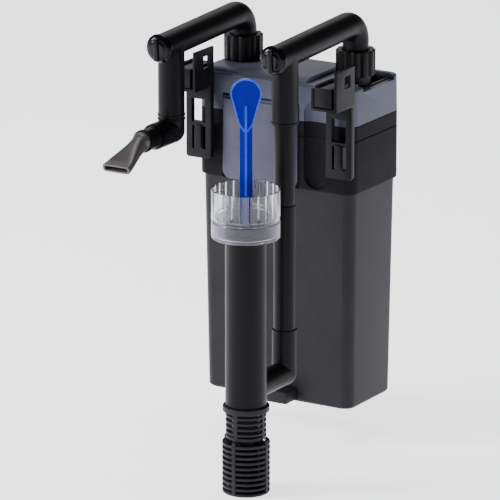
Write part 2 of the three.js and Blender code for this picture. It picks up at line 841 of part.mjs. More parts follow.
// duckbill: a round tube whose section flattens and widens towards its mouth
function duckbill(rootRadius, mouthWidth, mouthHeight, start, end) {
  const geometry = new THREE.CylinderGeometry(1, 1, end - start, roundSides, 5);
  const position = geometry.attributes.position;
  for (let i = 0; i < position.count; i += 1) {
    const along = position.getY(i) + (end + start) / 2;
    const t = Math.min(Math.max((along - 6) / (nozzleLength - 6), 0), 1);
    const ease = t * t * (3 - 2 * t);
    const halfWidth = rootRadius + (mouthWidth / 2 - rootRadius) * ease;
    const halfHeight = rootRadius + (mouthHeight / 2 - rootRadius) * Math.min(t * 1.25, 1);
    position.setXYZ(i, position.getX(i) * halfWidth, -along, position.getZ(i) * halfHeight);
  }
  return geometry;
}
const nozzleOuter = duckbill(6.6, 23, 6.6, 0, nozzleLength);
const nozzleInner = duckbill(5, 20, 3.8, -9, nozzleLength + 1);
for (const geometry of [nozzleOuter, nozzleInner]) {
  geometry.rotateX(nozzlePitch * degrees);
  geometry.translate(-pipeX, ballY, outletLevel);
}
const nozzle = cut(
  join(ball([-pipeX, ballY, outletLevel], ballRadius), solid(nozzleOuter)),
  solid(nozzleInner),
);
add('duckbill_nozzle', nozzle, glossBlack);

// ---- inlet drop, skimmer and strainer ----------------------------------------------------------------

add('inlet_pipe', turned([
  [5.6, lowerPipeTop - 12],
  [6.5, lowerPipeTop - 12],
  [6.5, lowerPipeTop + gap],
  [dropRadius, lowerPipeTop + gap],
  [dropRadius, 14],
  [6.5, 14],
  [6.5, lowerPipeTop + 3],
  [5.6, lowerPipeTop + 2],
], pipeX, legY), glossBlack);
add('inlet_lower_pipe', tube(pipeX, legY, 8.3, 6.8, socketTop - 9, lowerPipeTop), glossBlack);

const inletElbow = cut(
  join(
    rod([pipeX, legY, bottomLevel], [pipeX, legY, socketTop], 9.4),
    ball([pipeX, legY, bottomLevel], 9.4),
    rod([pipeX, legY, bottomLevel], [pipeX, towerY, bottomLevel], 9.2),
  ),
  rod([pipeX, legY, socketTop - 9.5], [pipeX, legY, -100], 8.6),
  rod([pipeX, legY, bottomLevel], [pipeX, legY, -100], 6.8),
  ball([pipeX, legY, bottomLevel], 6.8),
  rod([pipeX, legY, bottomLevel], [pipeX, towerY, bottomLevel], 6.8),
  rod([pipeX, towerY, -230], [pipeX, towerY, -150], towerRadius + gap, fineSides),
);
add('inlet_elbow', inletElbow, glossBlack);

// tower: open tube with a lip under the cup and a side hole where the elbow meets it
const tower = cut(
  turned([
    [towerBore, towerBottom],
    [towerRadius, towerBottom],
    [towerRadius, cupBottom - 3],
    [17, cupBottom - 1.6],
    [17, cupBottom - gap],
    [towerRadius, cupBottom - gap],
    [towerRadius, towerTop],
    [towerBore, towerTop],
  ], pipeX, towerY, fineSides),
  rod([pipeX, towerY, bottomLevel], [pipeX, legY, bottomLevel], 6.4),
);
add('skimmer_tower', tower, glossBlack);

add('skimmer_cup', turned([
  [towerRadius + gap, cupBottom],
  [cupRadius - 1.6, cupBottom],
  [cupRadius, cupBottom + 1.6],
  [cupRadius, cupTop],
  [cupRadius - 1.9, cupTop],
  [cupRadius - 1.9, cupBottom + 3.2],
  [cupRadius - 2.9, cupBottom + 2.2],
  [towerRadius + gap, cupBottom + 2.2],
], pipeX, towerY, 24), frosted);

// comb: a floating weir ring whose wall is split into upright panels
const combBase = cupTop + gap;
let comb = turned([
  [cupRadius - 3.7, cupTop - 7],
  [cupRadius - 2.4, cupTop - 7],
  [cupRadius - 2.4, combBase],
  [cupRadius, combBase],
  [cupRadius, combTop],
  [cupRadius - 1.4, combTop],
  [cupRadius - 1.4, combBase + 2.4],
  [cupRadius - 3.7, combBase + 2.4],
], pipeX, towerY, combPanels);
for (let i = 0; i < combPanels / 2; i += 1) {
  const slot = new THREE.BoxGeometry(2 * cupRadius + 4, 0.9, combTop - combBase);
  slot.rotateZ((i + 0.5) * (360 / combPanels) * degrees);
  slot.translate(pipeX, towerY, (combTop + combBase) / 2 + 3.4);
  comb = cut(comb, solid(slot));
}
add('skimmer_comb', comb, clear);

// handle: teardrop paddle on a stem of crossed ribs that reaches down to the valve drum
const paddleRadius = 11.4;
const paddleCentre = 29.2;
const stemBottom = cupBottom - 2;
const paddleShape = new THREE.Shape();
paddleShape.moveTo(-4.7, 6);
paddleShape.lineTo(4.7, 6);
paddleShape.quadraticCurveTo(6.6, 11, 10, 23.6);
paddleShape.absarc(0, paddleCentre, paddleRadius, -29 * degrees, 209 * degrees);
paddleShape.quadraticCurveTo(-6.6, 11, -4.7, 6);
let handle = join(
  plateXZ(paddleShape, -1.3, 1.3, 8),
  box(-4.7, 4.7, -1, 1, stemBottom, 8),
  box(-0.8, 0.8, -2.6, 2.6, stemBottom, 21),
  box(-12.4, 12.4, -1.2, 1.2, stemBottom - 2, stemBottom + 1),
  box(-1.2, 1.2, -12.4, 12.4, stemBottom - 2, stemBottom + 1),
);
handle = handle.rotate([0, 0, handleTurn]).translate([pipeX, towerY, 0]);
add('skimmer_handle', handle, blue);

// valve drum turned by the handle inside the tower, with two side windows
const drumTop = stemBottom - 2 - gap;
const drum = cut(
  tube(pipeX, towerY, 13, 11.2, drumTop - 24, drumTop),
  box(pipeX - 5, pipeX + 5, towerY - 20, towerY + 20, drumTop - 19, drumTop - 6),
);
add('valve_drum', drum, blue);

// strainer: spigot, lip and an upper cage, with a slimmer cage that runs down inside the sleeve
function hoop(outer, inner, z0, height) {
  return tube(pipeX, towerY, outer, inner, z0, z0 + height);
}
function ribs(outer, inner, z0, z1, width) {
  const bars = [];
  for (let i = 0; i < 4; i += 1) {
    const bar = new THREE.BoxGeometry(outer - inner, width, z1 - z0);
    bar.translate((outer + inner) / 2, 0, 0);
    bar.rotateZ(i * 90 * degrees);
    bar.translate(pipeX, towerY, (z0 + z1) / 2);
    bars.push(solid(bar));
  }
  return bars;
}
const lipBottom = towerBottom - 4.7;
const suctionRadius = 10.4;      // inner tube that draws from the bottom of the cage
let cage = join(
  turned([
    [11.4, lipBottom],
    [17.4, lipBottom],
    [17.4, towerBottom - gap],
    [towerBore - gap, towerBottom - gap],
    [towerBore - gap, towerBottom + 6],
    [11.4, towerBottom + 6],
  ], pipeX, towerY, fineSides),
  ...ribs(cageRadius, cageRadius - 2.4, sleeveTop, lipBottom + 1, 2.6),
  ...ribs(14.2, 12.4, sleeveBottom + 4, sleeveTop + 4, 2.6),
  rod([pipeX, towerY, sleeveBottom + 3.5], [pipeX, towerY, sleeveBottom + 5.5], 14.2),
  hoop(14.2, 12.4, -254, 2),
  tube(pipeX, towerY, suctionRadius, suctionRadius - 1.6, sleeveBottom + 4.5, lipBottom + 1.5),
  tube(pipeX, towerY, 12, suctionRadius - 1.6, lipBottom, lipBottom + 1.5),
);
for (const turn of [45, 135]) {
  const window = new THREE.BoxGeometry(2 * suctionRadius + 2, 8, 9);
  window.rotateZ(turn * degrees);
  window.translate(pipeX, towerY, sleeveBottom + 10.5);
  cage = cut(cage, solid(window));
}
for (let z = lipBottom - 4.2; z > sleeveTop; z -= 4.2) {
  cage = join(cage, hoop(cageRadius, cageRadius - 2, z, 2));
}
cage = join(cage, hoop(cageRadius, 12.4, sleeveTop + gap, 2.4));
add('strainer_cage', cage, black);

let sleeve = join(
  turned([
    [0, sleeveBottom],
    [sleeveRadius - 1, sleeveBottom],
    [sleeveRadius, sleeveBottom + 1],
    [sleeveRadius, sleeveBottom + 2.4],
    [0, sleeveBottom + 2.4],
  ], pipeX, towerY, fineSides),
  ...ribs(sleeveRadius + 0.3, sleeveRadius - 2.2, sleeveBottom + 1, sleeveTop - gap, 3),
);
for (let z = sleeveBottom + 5; z < sleeveTop - 2.4; z += 5.4) {
  sleeve = join(sleeve, hoop(sleeveRadius, sleeveRadius - 2.2, z, 2));
}
add('strainer_sleeve', sleeve, black);

export default group;
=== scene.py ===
"""Looks for the hang on back filter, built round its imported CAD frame.

Shapes are given in millimetres in the row frame: the origin is on the tank rim, +Z is up and -Y is the
tank side. Each piece is a finely rounded version of one CAD node, at the same size and place. The
canister's upright corners are rounder than in the CAD, inside the same box.
"""
import json
import math

import bmesh
import bpy
from mathutils import Matrix, Vector, noise


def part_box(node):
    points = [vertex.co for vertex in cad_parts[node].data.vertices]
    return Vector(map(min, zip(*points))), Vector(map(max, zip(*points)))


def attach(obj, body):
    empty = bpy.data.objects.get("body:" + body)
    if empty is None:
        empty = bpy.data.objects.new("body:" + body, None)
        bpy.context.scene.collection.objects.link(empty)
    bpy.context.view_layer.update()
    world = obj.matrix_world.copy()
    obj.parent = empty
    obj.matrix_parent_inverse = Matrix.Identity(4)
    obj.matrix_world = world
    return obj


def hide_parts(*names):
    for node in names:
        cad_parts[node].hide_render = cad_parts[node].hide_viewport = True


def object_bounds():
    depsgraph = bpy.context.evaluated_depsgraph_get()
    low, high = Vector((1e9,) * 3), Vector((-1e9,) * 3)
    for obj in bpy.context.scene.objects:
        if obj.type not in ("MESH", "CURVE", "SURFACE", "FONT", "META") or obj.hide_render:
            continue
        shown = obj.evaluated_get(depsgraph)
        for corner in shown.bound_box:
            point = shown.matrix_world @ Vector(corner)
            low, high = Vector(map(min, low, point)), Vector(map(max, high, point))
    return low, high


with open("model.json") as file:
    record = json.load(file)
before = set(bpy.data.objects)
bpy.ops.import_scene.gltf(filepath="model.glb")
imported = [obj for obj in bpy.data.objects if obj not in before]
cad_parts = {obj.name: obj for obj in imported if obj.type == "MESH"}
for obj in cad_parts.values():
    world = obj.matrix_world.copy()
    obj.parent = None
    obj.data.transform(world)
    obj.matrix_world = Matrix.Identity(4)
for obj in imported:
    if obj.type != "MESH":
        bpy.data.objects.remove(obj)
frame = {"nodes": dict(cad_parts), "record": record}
cad_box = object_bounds()

MM = 0.001
GAP = 0.3
ROUND = 64          # sides of an ordinary round piece

# ---- sizes ---------------------------------------------------------------------------------------------


def box_mm(node):
    """Lowest and highest corner of a CAD node, in millimetres."""
    low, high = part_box(node)
    return low / MM, high / MM


def middle(node):
    """X and Y of the axis of an upright round CAD node."""
    low, high = box_mm(node)
    return (low.x + high.x) / 2, (low.y + high.y) / 2


body_low, body_high = box_mm("head_base")
BODY_WIDTH = body_high.x - body_low.x
BODY_DEPTH = body_high.y - body_low.y
BODY_CENTRE_Y = BODY_DEPTH / 2
CORNER = 8.0
WALL = 5.4
HEAD_TOP = 7.0
GREY_BOTTOM = -21.7
SEAM = -33.0
SKIRT_BOTTOM = -74.5
CANISTER_BOTTOM = box_mm("canister")[0].z
STEP = 1.85
DRAFT = 2.1

LATCH_LEFT, LATCH_RIGHT = -45.0, 20.4
PIN_Y, PIN_Z = 2.0, -11.5
RECESS_X, RECESS_HALF_WIDTH, RECESS_DEPTH = 36.3, 10.7, 3.8
RECESS_TOP, RECESS_BOTTOM = -4.8, -73.0

PIPE_X = middle("inlet_port")[0]
PORT_Y = middle("inlet_port")[1]
LEG_Y = middle("inlet_pipe")[1]
ARM_LEVELS = {"outlet": 43.5, "inlet": 46.9}     # height of an arm's axis over its leg
ARM_TILT = math.radians(2.4)
PIPE_RADIUS, PIPE_BORE = 10.0, 8.3
BACK_BEND = 14.0
ARM_FRONT = -82.0
PORT_RADIUS, PORT_TOP = 12.2, 21.0

OUTLET_LEVEL = -23.0
ELBOW_FRONT = -92.6
BALL_Y, BALL_RADIUS = -109.0, 7.4
NOZZLE_LENGTH = 38.0
NOZZLE_PITCH = math.radians(20)

TOWER_X, TOWER_Y = middle("skimmer_tower")
TOWER_RADIUS, TOWER_BORE = 15.4, 13.4
BOTTOM_LEVEL = -197.0
CUP_RADIUS = 25.5
CUP_TOP, CUP_BOTTOM = -65.4, -78.6
COMB_TOP = -41.7
COMB_PANELS = 24
HANDLE_TURN = math.radians(31.2)
TOWER_BOTTOM = -206.6
SLEEVE_TOP, SLEEVE_BOTTOM = -232.0, -274.0
SLEEVE_RADIUS, CAGE_RADIUS = 17.8, 15.1

HANGER_X, HANGER_HALF = 61.5, 11.0
HANGER_BACK, PLATE = -5.0, 4.8
BOX_FRONT = -32.0
HANGER_BOTTOM = -59.2
BOX_FLOOR = -2.5
SIDE_WALL_TOP = 28.5
RACK_TOP = 17.0
SEAT_STEP = 0.4

# ---- mesh helpers --------------------------------------------------------------------------------------


def new_object(name, bm):
    bmesh.ops.recalc_face_normals(bm, faces=bm.faces)
    mesh = bpy.data.meshes.new(name)
    bm.to_mesh(mesh)
    bm.free()
    piece = bpy.data.objects.new(name, mesh)
    bpy.context.scene.collection.objects.link(piece)
    return piece


def loft(name, loops, ring=False):
    """Skin over loops of equal length. A ring's last loop meets its first; otherwise the ends are capped."""
    bm = bmesh.new()
    rows = [[bm.verts.new(Vector(p) * MM) for p in loop] for loop in loops]
    pairs = list(zip(rows, rows[1:]))
    if ring:
        pairs.append((rows[-1], rows[0]))
    else:
        bm.faces.new(rows[0])
        bm.faces.new(rows[-1])
    count = len(rows[0])
    for lower, upper in pairs:
        for i in range(count):
            j = (i + 1) % count
            bm.faces.new((lower[i], lower[j], upper[j], upper[i]))
    return new_object(name, bm)


def soften(outline, radius, steps=4):
    """A closed outline with each corner rounded. Points on the axis, at radius 0, stay as they are."""
    smooth = []
    for i, (x, y) in enumerate(outline):
        before, corner = Vector(outline[i - 1]), Vector((x, y))
        after = Vector(outline[(i + 1) % len(outline)])
        reach = min(radius, 0.45 * (before - corner).length, 0.45 * (after - corner).length)
        if abs(x) < 1e-6 or reach < 0.02:
            smooth.append((x, y))
            continue
        start = corner + (before - corner).normalized() * reach
        end = corner + (after - corner).normalized() * reach
        for step in range(steps + 1):
            t = step / steps
            smooth.append(tuple(start * (1 - t) ** 2 + corner * 2 * t * (1 - t) + end * t * t))
    return smooth


def turned(name, profile, x, y, radius=0.4, sides=ROUND, place=None):
    """Turned solid from a closed list of (radius, height) about the upright axis at x, y, then placed."""
    smooth = soften(profile, radius)
    on_axis = abs(profile[0][0]) < 1e-6
    points = [p for p in smooth if abs(p[0]) > 1e-6] if on_axis else smooth
    loops = []
    for r, z in points:
        turns = [2 * math.pi * i / sides for i in range(sides)]
        loops.append([Vector((r * math.cos(a), r * math.sin(a), z)) for a in turns])
    move = (place or Matrix.Identity(4)) @ Matrix.Translation((x, y, 0))
    return loft(name, [[move @ p for p in loop] for loop in loops], ring=not on_axis)


def facing_tank(x, y, z):
    """Turns an upright piece so that its top faces the tank."""
    return Matrix.Translation((x, y, z)) @ Matrix.Rotation(math.radians(90), 4, "X")


def pipe(name, path, radius, sides=ROUND):
    """Round bar along points that all lie in one plane of constant X."""
    points = [Vector(p) for p in path]
    across = Vector((1, 0, 0))
    loops = []
    for i, point in enumerate(points):
        along = (points[min(i + 1, len(points) - 1)] - points[max(i - 1, 0)]).normalized()
        up = along.cross(across)
        turns = [2 * math.pi * k / sides for k in range(sides)]
        loops.append([point + radius * (math.cos(a) * across + math.sin(a) * up) for a in turns])
    return loft(name, loops)


def block(name, x0, x1, y0, y1, z0, z1, edge=0.0):
    """Box, with its edges rounded if edge is given."""
    bm = bmesh.new()
    bmesh.ops.create_cube(bm, size=1)
    size = Matrix.Diagonal((x1 - x0, y1 - y0, z1 - z0, 1))
    centre = Matrix.Translation(((x0 + x1) / 2, (y0 + y1) / 2, (z0 + z1) / 2))
    bmesh.ops.transform(bm, matrix=Matrix.Scale(MM, 4) @ centre @ size, verts=bm.verts)
    if edge:
        bmesh.ops.bevel(bm, geom=bm.edges[:], offset=edge * MM, segments=3, profile=0.5, affect="EDGES")
    return new_object(name, bm)


def plate(name, outline, y0, y1, edge=0.0):
    """Outline in X and Z, as thick as y0 to y1, with its rims rounded if edge is given."""
    bm = bmesh.new()
    front = [bm.verts.new(Vector((x, y0, z)) * MM) for x, z in outline]
    back = [bm.verts.new(Vector((x, y1, z)) * MM) for x, z in outline]
    caps = [bm.faces.new(front), bm.faces.new(back)]
    for i in range(len(outline)):
        j = (i + 1) % len(outline)
        bm.faces.new((front[i], front[j], back[j], back[i]))
    if edge:
        rims = list({e for face in caps for e in face.edges})
        bmesh.ops.bevel(bm, geom=rims, offset=edge * MM, segments=3, profile=0.5, affect="EDGES")
    return new_object(name, bm)


def arc(x, z, radius, start, end, steps=12):
    """Points of a round stretch, from one angle in degrees to another."""
    turns = [math.radians(start + (end - start) * i / steps) for i in range(steps + 1)]
    return [(x + radius * math.cos(a), z + radius * math.sin(a)) for a in turns]


def combine(base, operation, tools):
    """Adds tools to base with UNION, or takes them off with DIFFERENCE."""
    for tool in tools:
        modifier = base.modifiers.new("combine", "BOOLEAN")
        modifier.operation = operation
        modifier.solver = "MANIFOLD"
        modifier.object = tool
    bpy.context.view_layer.update()
    depsgraph = bpy.context.evaluated_depsgraph_get()
    mesh = bpy.data.meshes.new_from_object(base.evaluated_get(depsgraph))
    base.modifiers.clear()
    base.data = mesh
    for tool in tools:
        bpy.data.objects.remove(tool)
    return base


def join(base, *tools):
    return combine(base, "UNION", tools)


def cut(base, *tools):
    return combine(base, "DIFFERENCE", tools)


def rod(start, end, radius, sides=ROUND):
    """Straight round bar between two points."""
    start, end = Vector(start), Vector(end)
    turn = (end - start).to_track_quat("Z", "Y").to_matrix().to_4x4()
    place = Matrix.Translation(start) @ turn
    length = (end - start).length
    return turned("rod", [(0, 0), (radius, 0), (radius, length), (0, length)], 0, 0, 0, sides, place)


def ball(centre, radius):
    bm = bmesh.new()
    bmesh.ops.create_uvsphere(bm, u_segments=ROUND, v_segments=ROUND // 2, radius=radius * MM)
    bmesh.ops.translate(bm, verts=bm.verts, vec=Vector(centre) * MM)
    return new_object("ball", bm)


def body_loop(inset, z, corner=None, steps=10):
    """Rounded rectangle round the body at one level, smaller all round by inset."""
    radius = corner or max(CORNER - inset, 1.5)
    half_x, half_y = BODY_WIDTH / 2 - inset - radius, BODY_DEPTH / 2 - inset - radius
    corners = [(half_x, half_y, 0), (-half_x, half_y, 90), (-half_x, -half_y, 180), (half_x, -half_y, 270)]
    loop = []
    for x, y, start in corners:
        loop += [Vector((a, b + BODY_CENTRE_Y, z)) for a, b in arc(x, y, radius, start, start + 90, steps)]
    return loop


def prism(name, levels, corner=None):
    """Upright rounded body through a list of (inset, level), lowest first."""
    return loft(name, [body_loop(inset, z, corner) for inset, z in levels])


def edge_levels(inset, z, radius, upward, steps=4):
    """Levels that round the edge between the wall and the top or bottom face."""
    levels = []
    for step in range(steps + 1):
        a = math.radians(90) * step / steps
        lift = radius * (1 - math.sin(a)) if upward else radius * (1 - math.cos(a))
        shrink = radius * (1 - math.cos(a)) if upward else radius * (1 - math.sin(a))
        levels.append((inset + shrink, z - lift if upward else z + lift))
    return levels


# ---- materials -----------------------------------------------------------------------------------------


def material(name, colour, roughness, grain=0.06, grain_size=0.35, mottle=0.1, colour_2=None, pattern="NOISE",
             metallic=0.0, transmission=0.0, specular=0.5, sheen=0.0):
    """Procedural finish: mottled colour, uneven roughness and a fine grain. grain_size is in mm."""
    made = bpy.data.materials.new(name)
    made.use_nodes = True
    nodes, links = made.node_tree.nodes, made.node_tree.links
    shader = nodes["Principled BSDF"]
    shader.inputs["Metallic"].default_value = metallic
    shader.inputs["IOR"].default_value = 1.49
    shader.inputs["Specular IOR Level"].default_value = specular
    shader.inputs["Transmission Weight"].default_value = transmission
    shader.inputs["Sheen Weight"].default_value = sheen

    where = nodes.new("ShaderNodeTexCoord")
    broad = nodes.new("ShaderNodeTexNoise")
    broad.inputs["Scale"].default_value = 45
    broad.inputs["Detail"].default_value = 5
    links.new(where.outputs["Object"], broad.inputs["Vector"])

    ramp = nodes.new("ShaderNodeValToRGB")
    dark = [c * (1 - mottle) for c in colour]
    light = [min(c * (1 + mottle), 1) for c in (colour_2 or colour)]
    ramp.color_ramp.elements[0].position, ramp.color_ramp.elements[1].position = 0.35, 0.68
    ramp.color_ramp.elements[0].color = (*dark, 1)
    ramp.color_ramp.elements[1].color = (*light, 1)
    links.new(broad.outputs["Fac"], ramp.inputs["Fac"])
    links.new(ramp.outputs["Color"], shader.inputs["Base Color"])

    uneven = nodes.new("ShaderNodeMapRange")
    uneven.inputs["To Min"].default_value = max(roughness * 0.82, 0.02)
    uneven.inputs["To Max"].default_value = min(roughness * 1.18, 1.0)
    links.new(broad.outputs["Fac"], uneven.inputs["Value"])
    links.new(uneven.outputs["Result"], shader.inputs["Roughness"])

    if pattern == "CELLS":
        fine = nodes.new("ShaderNodeTexVoronoi")
        height = fine.outputs["Distance"]
    else:
        fine = nodes.new("ShaderNodeTexNoise")
        fine.inputs["Detail"].default_value = 3
        height = fine.outputs["Fac"]
    fine.inputs["Scale"].default_value = 1 / (grain_size * MM)
    links.new(where.outputs["Object"], fine.inputs["Vector"])
    bump = nodes.new("ShaderNodeBump")
    bump.inputs["Strength"].default_value = grain
    bump.inputs["Distance"].default_value = grain_size * MM
    links.new(height, bump.inputs["Height"])
    links.new(bump.outputs["Normal"], shader.inputs["Normal"])
    return made


FINISHES = {
    "head_grey": material("satin_grey", (0.057, 0.0575, 0.09), 0.42, grain=0.12, specular=0.2),
    "body_black": material("satin_black", (0.0172, 0.0157, 0.0196), 0.42, grain=0.14, specular=0.1),
    "hanger_black": material("hanger_black", (0.0075, 0.007, 0.0095), 0.36, grain=0.14, mottle=0.25,
                             specular=0.1),
    "pipe_black": material("pipe_black", (0.0024, 0.0021, 0.0032), 0.4, grain=0.06, specular=0.1),
    "smoky_cap": material("smoky_cap", (0.0018, 0.002, 0.0035), 0.16, grain=0.03, specular=0.14),
    "clear_plastic": material("clear_plastic", (0.74, 0.74, 0.81), 0.05, grain=0.03, mottle=0.02,
                              transmission=1.0),
    "frosted_plastic": material("frosted_plastic", (0.4, 0.39, 0.47), 0.24, grain=0.1, mottle=0.05,
                                transmission=1.0, specular=0.3),
    "blue_plastic": material("blue_plastic", (0.0003, 0.0014, 0.23), 0.3, grain=0.04, specular=0.08),
    "rubber_black": material("rubber", (0.01, 0.01, 0.011), 0.8, grain=0.25, grain_size=0.2),
    "steel": material("steel", (0.52, 0.53, 0.55), 0.28, grain=0.08, grain_size=0.15, metallic=1.0),
    "white_ceramic": material("white_ceramic", (0.76, 0.73, 0.65), 0.7, grain=0.5, grain_size=0.5),
    "magnet_grey": material("magnet", (0.04, 0.04, 0.043), 0.55, grain=0.2, metallic=0.3),
    "sponge_dark": material("sponge", (0.012, 0.02, 0.027), 0.95, grain=1.0, grain_size=1.2, mottle=0.35,
                            pattern="CELLS", sheen=0.2),
    "filter_wool": material("wool", (0.74, 0.76, 0.74), 0.95, grain=0.9, grain_size=0.8, mottle=0.1,
                            sheen=0.4),
}
# the duckbill is a smoky brown; the skirt and band get a darker copy of the canister's black as painted
# shade, and the handle's thin edges and rib get a lighter, glossier blue as a painted highlight
NOZZLE_FINISH = material("nozzle_smoke", (0.04, 0.034, 0.037), 0.36, colour_2=(0.052, 0.044, 0.043),
                         mottle=0.15)
SKIRT_PAINTED_SHADE = material("skirt_black_painted_shade", (0.0085, 0.0078, 0.01), 0.5, grain=0.14, specular=0.03)
BLUE_PAINTED_HIGHLIGHT = material("blue_painted_highlight", (0.006, 0.045, 0.62), 0.26, grain=0.04, specular=0.3)

NODE_SLOT = {row["node"]: row["material_slot"] for row in frame["record"]["subparts"]}
NODE_BODY = {n: body for body, members in frame["record"]["behaviour"]["bodies"].items() for n in members}


def paint(piece, finish):
    piece.data.materials.clear()
    piece.data.materials.append(finish)


def stand_for(piece, node, finish=None, sharp=32):
    """piece is shown in place of a CAD node, on its body and in its material slot."""
    piece.name = node + "_shape"
    piece.data.shade_smooth()
    piece.data.set_sharp_from_angle(angle=math.radians(sharp))
    paint(piece, finish or FINISHES[NODE_SLOT[node]])
    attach(piece, NODE_BODY[node])
    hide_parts(node)
    return piece


for node, shown in frame["nodes"].items():
    paint(shown, FINISHES[NODE_SLOT[node]])
    shown.data.shade_smooth()
    shown.data.set_sharp_from_angle(angle=math.radians(32))

# ---- head ----------------------------------------------------------------------------------------------


def latch_pocket():
    return [
        block("pocket", LATCH_LEFT - 1, LATCH_RIGHT + 1, -3, 2.6, SKIRT_BOTTOM - GAP, PIN_Z + 3.3),
        block("knuckle", LATCH_LEFT - 1, LATCH_RIGHT + 1, 0, 4.8, PIN_Z - 3, PIN_Z + 3),
    ]


def finger_recess():
    """Upright capsule, flattened front to back, that crosses head, band and skirt."""
    half = (RECESS_TOP - RECESS_BOTTOM) / 2
    straight = half - RECESS_HALF_WIDTH
    outline = [(0, -half)]
    outline += arc(0, -straight, RECESS_HALF_WIDTH, -86, 0)
    outline += arc(0, straight, RECESS_HALF_WIDTH, 0, 86)
    outline += [(0, half)]
    flat = Matrix.Diagonal((1, RECESS_DEPTH / RECESS_HALF_WIDTH, 1, 1))
    place = Matrix.Translation((RECESS_X, 0, (RECESS_TOP + RECESS_BOTTOM) / 2)) @ flat
    return turned("recess", outline, 0, 0, 0, ROUND, place)


def bezier(a, b, c, steps=10):
    """Points of a smooth bend from a to c that leans towards b."""
    bend = []
    for i in range(1, steps + 1):
        t = i / steps
        bend.append(tuple(a[k] * (1 - t) ** 2 + b[k] * 2 * t * (1 - t) + c[k] * t * t for k in (0, 1)))
    return bend


def hump():
    """Low rise on the left and middle of the head's top, rounded at the front and back."""
    top = HEAD_TOP + 3.5
    start = (2.5, HEAD_TOP - 1)
    side = [start, *bezier(start, (5, top), (17, top)), *bezier((56, top), (67, top), (69.5, HEAD_TOP - 1))]
    left, right, ease = -64, 26, 2.0
    loops = []
    for x, drop in ((left, 1.6), (left + ease / 2, 0.4), (left + ease, 0), (right - ease, 0),
                    (right - ease / 2, 0.4), (right, 1.6)):
        loops.append([Vector((x, y, max(z - drop, HEAD_TOP - 1.5))) for y, z in side])
    return loft("hump", loops)


TROUGH_LEFT, TROUGH_FRONT, TROUGH_BACK, TROUGH_FLOOR = 45, 22, 66, -2
TROUGH_RIGHT = 63
GLAND_X, GLAND_Z = -20, -8

cover = prism("cover", [(0, GREY_BOTTOM + GAP), *edge_levels(0.5, HEAD_TOP, 2.2, upward=True)])
join(cover, hump())
cut(
    cover,
    prism("inside", [(WALL + 0.4, GREY_BOTTOM - 1), (WALL + 0.4, HEAD_TOP - 2.6)]),
    rod((-PIPE_X, PORT_Y, 0), (-PIPE_X, PORT_Y, 20), PORT_RADIUS + GAP),
    rod((PIPE_X, PORT_Y, 0), (PIPE_X, PORT_Y, 20), PORT_RADIUS + GAP),
    block("trough", TROUGH_LEFT, TROUGH_RIGHT, TROUGH_FRONT, TROUGH_BACK, TROUGH_FLOOR - 2, HEAD_TOP + 5),
    block("side_notch", 60, 70, TROUGH_FRONT - 6, TROUGH_BACK - 3, HEAD_TOP - 4, HEAD_TOP + 5),
    *latch_pocket(),
    finger_recess(),
    *[block("tenon", x - 7.3, x + 4.3, -2, 12, 0.7, 5.3 + GAP) for x in (-HANGER_X, HANGER_X)],
    rod((GLAND_X, 60, GLAND_Z), (GLAND_X, 80, GLAND_Z), 4.3),
)
stand_for(cover, "head_cover")

tray = block("tray", TROUGH_LEFT + GAP, TROUGH_RIGHT - GAP, TROUGH_FRONT + GAP, TROUGH_BACK - GAP,
             TROUGH_FLOOR - 2, HEAD_TOP - 3, edge=0.3)
cut(
    tray,
    block("hollow", TROUGH_LEFT + 2, TROUGH_RIGHT - 2, TROUGH_FRONT + 2, TROUGH_BACK - 2, TROUGH_FLOOR,
          HEAD_TOP, edge=0.8),
    rod((PIPE_X, PORT_Y, -20), (PIPE_X, PORT_Y, 20), PORT_RADIUS + GAP),
)
stand_for(tray, "top_tray")

base_top, base_under = GREY_BOTTOM, GREY_BOTTOM - 3
TONGUE = WALL + 0.6
base = prism("base", [(0.35, SEAM), (0, SEAM + 0.4), (0, base_top - 0.4), (0.35, base_top)])
cut(
    base,
    prism("inside", [(WALL, SEAM + 2), (WALL, base_under)]),
    prism("mouth", [(TONGUE + 2, SEAM - 1), (TONGUE + 2, SEAM + 2.5)]),
)
tongue = prism("tongue", [(TONGUE, SEAM - 9), (TONGUE, SEAM + 1)])
cut(tongue, prism("tongue_inside", [(TONGUE + 2, SEAM - 10), (TONGUE + 2, SEAM + 2)]))
join(base, tongue)
cut(
    base,
    *latch_pocket(),
    finger_recess(),
    rod((-8, BODY_CENTRE_Y, -60), (-8, BODY_CENTRE_Y, 0), 9.3),
    rod((-PIPE_X, PORT_Y, -60), (-PIPE_X, PORT_Y, 0), PIPE_RADIUS + GAP),
    rod((PIPE_X, PORT_Y, -60), (PIPE_X, PORT_Y, 0), PIPE_RADIUS + GAP),
    *[rod((*middle(f"head_screw_{i}"), -40), (*middle(f"head_screw_{i}"), -10), 1.9) for i in (1, 2, 3, 4)],
)
# the band is painted in the darker copy of the black: painted shade
stand_for(base, "head_base", SKIRT_PAINTED_SHADE)

gland = rod((GLAND_X, 64, GLAND_Z), (GLAND_X, BODY_DEPTH + 6, GLAND_Z), 4)
join(gland, rod((GLAND_X, BODY_DEPTH + GAP, GLAND_Z), (GLAND_X, BODY_DEPTH + 4.5, GLAND_Z), 6.5, sides=6))
cut(gland, rod((GLAND_X, 60, GLAND_Z), (GLAND_X, 90, GLAND_Z), 2.6))
stand_for(gland, "cord_gland")

# ---- front latch ---------------------------------------------------------------------------------------

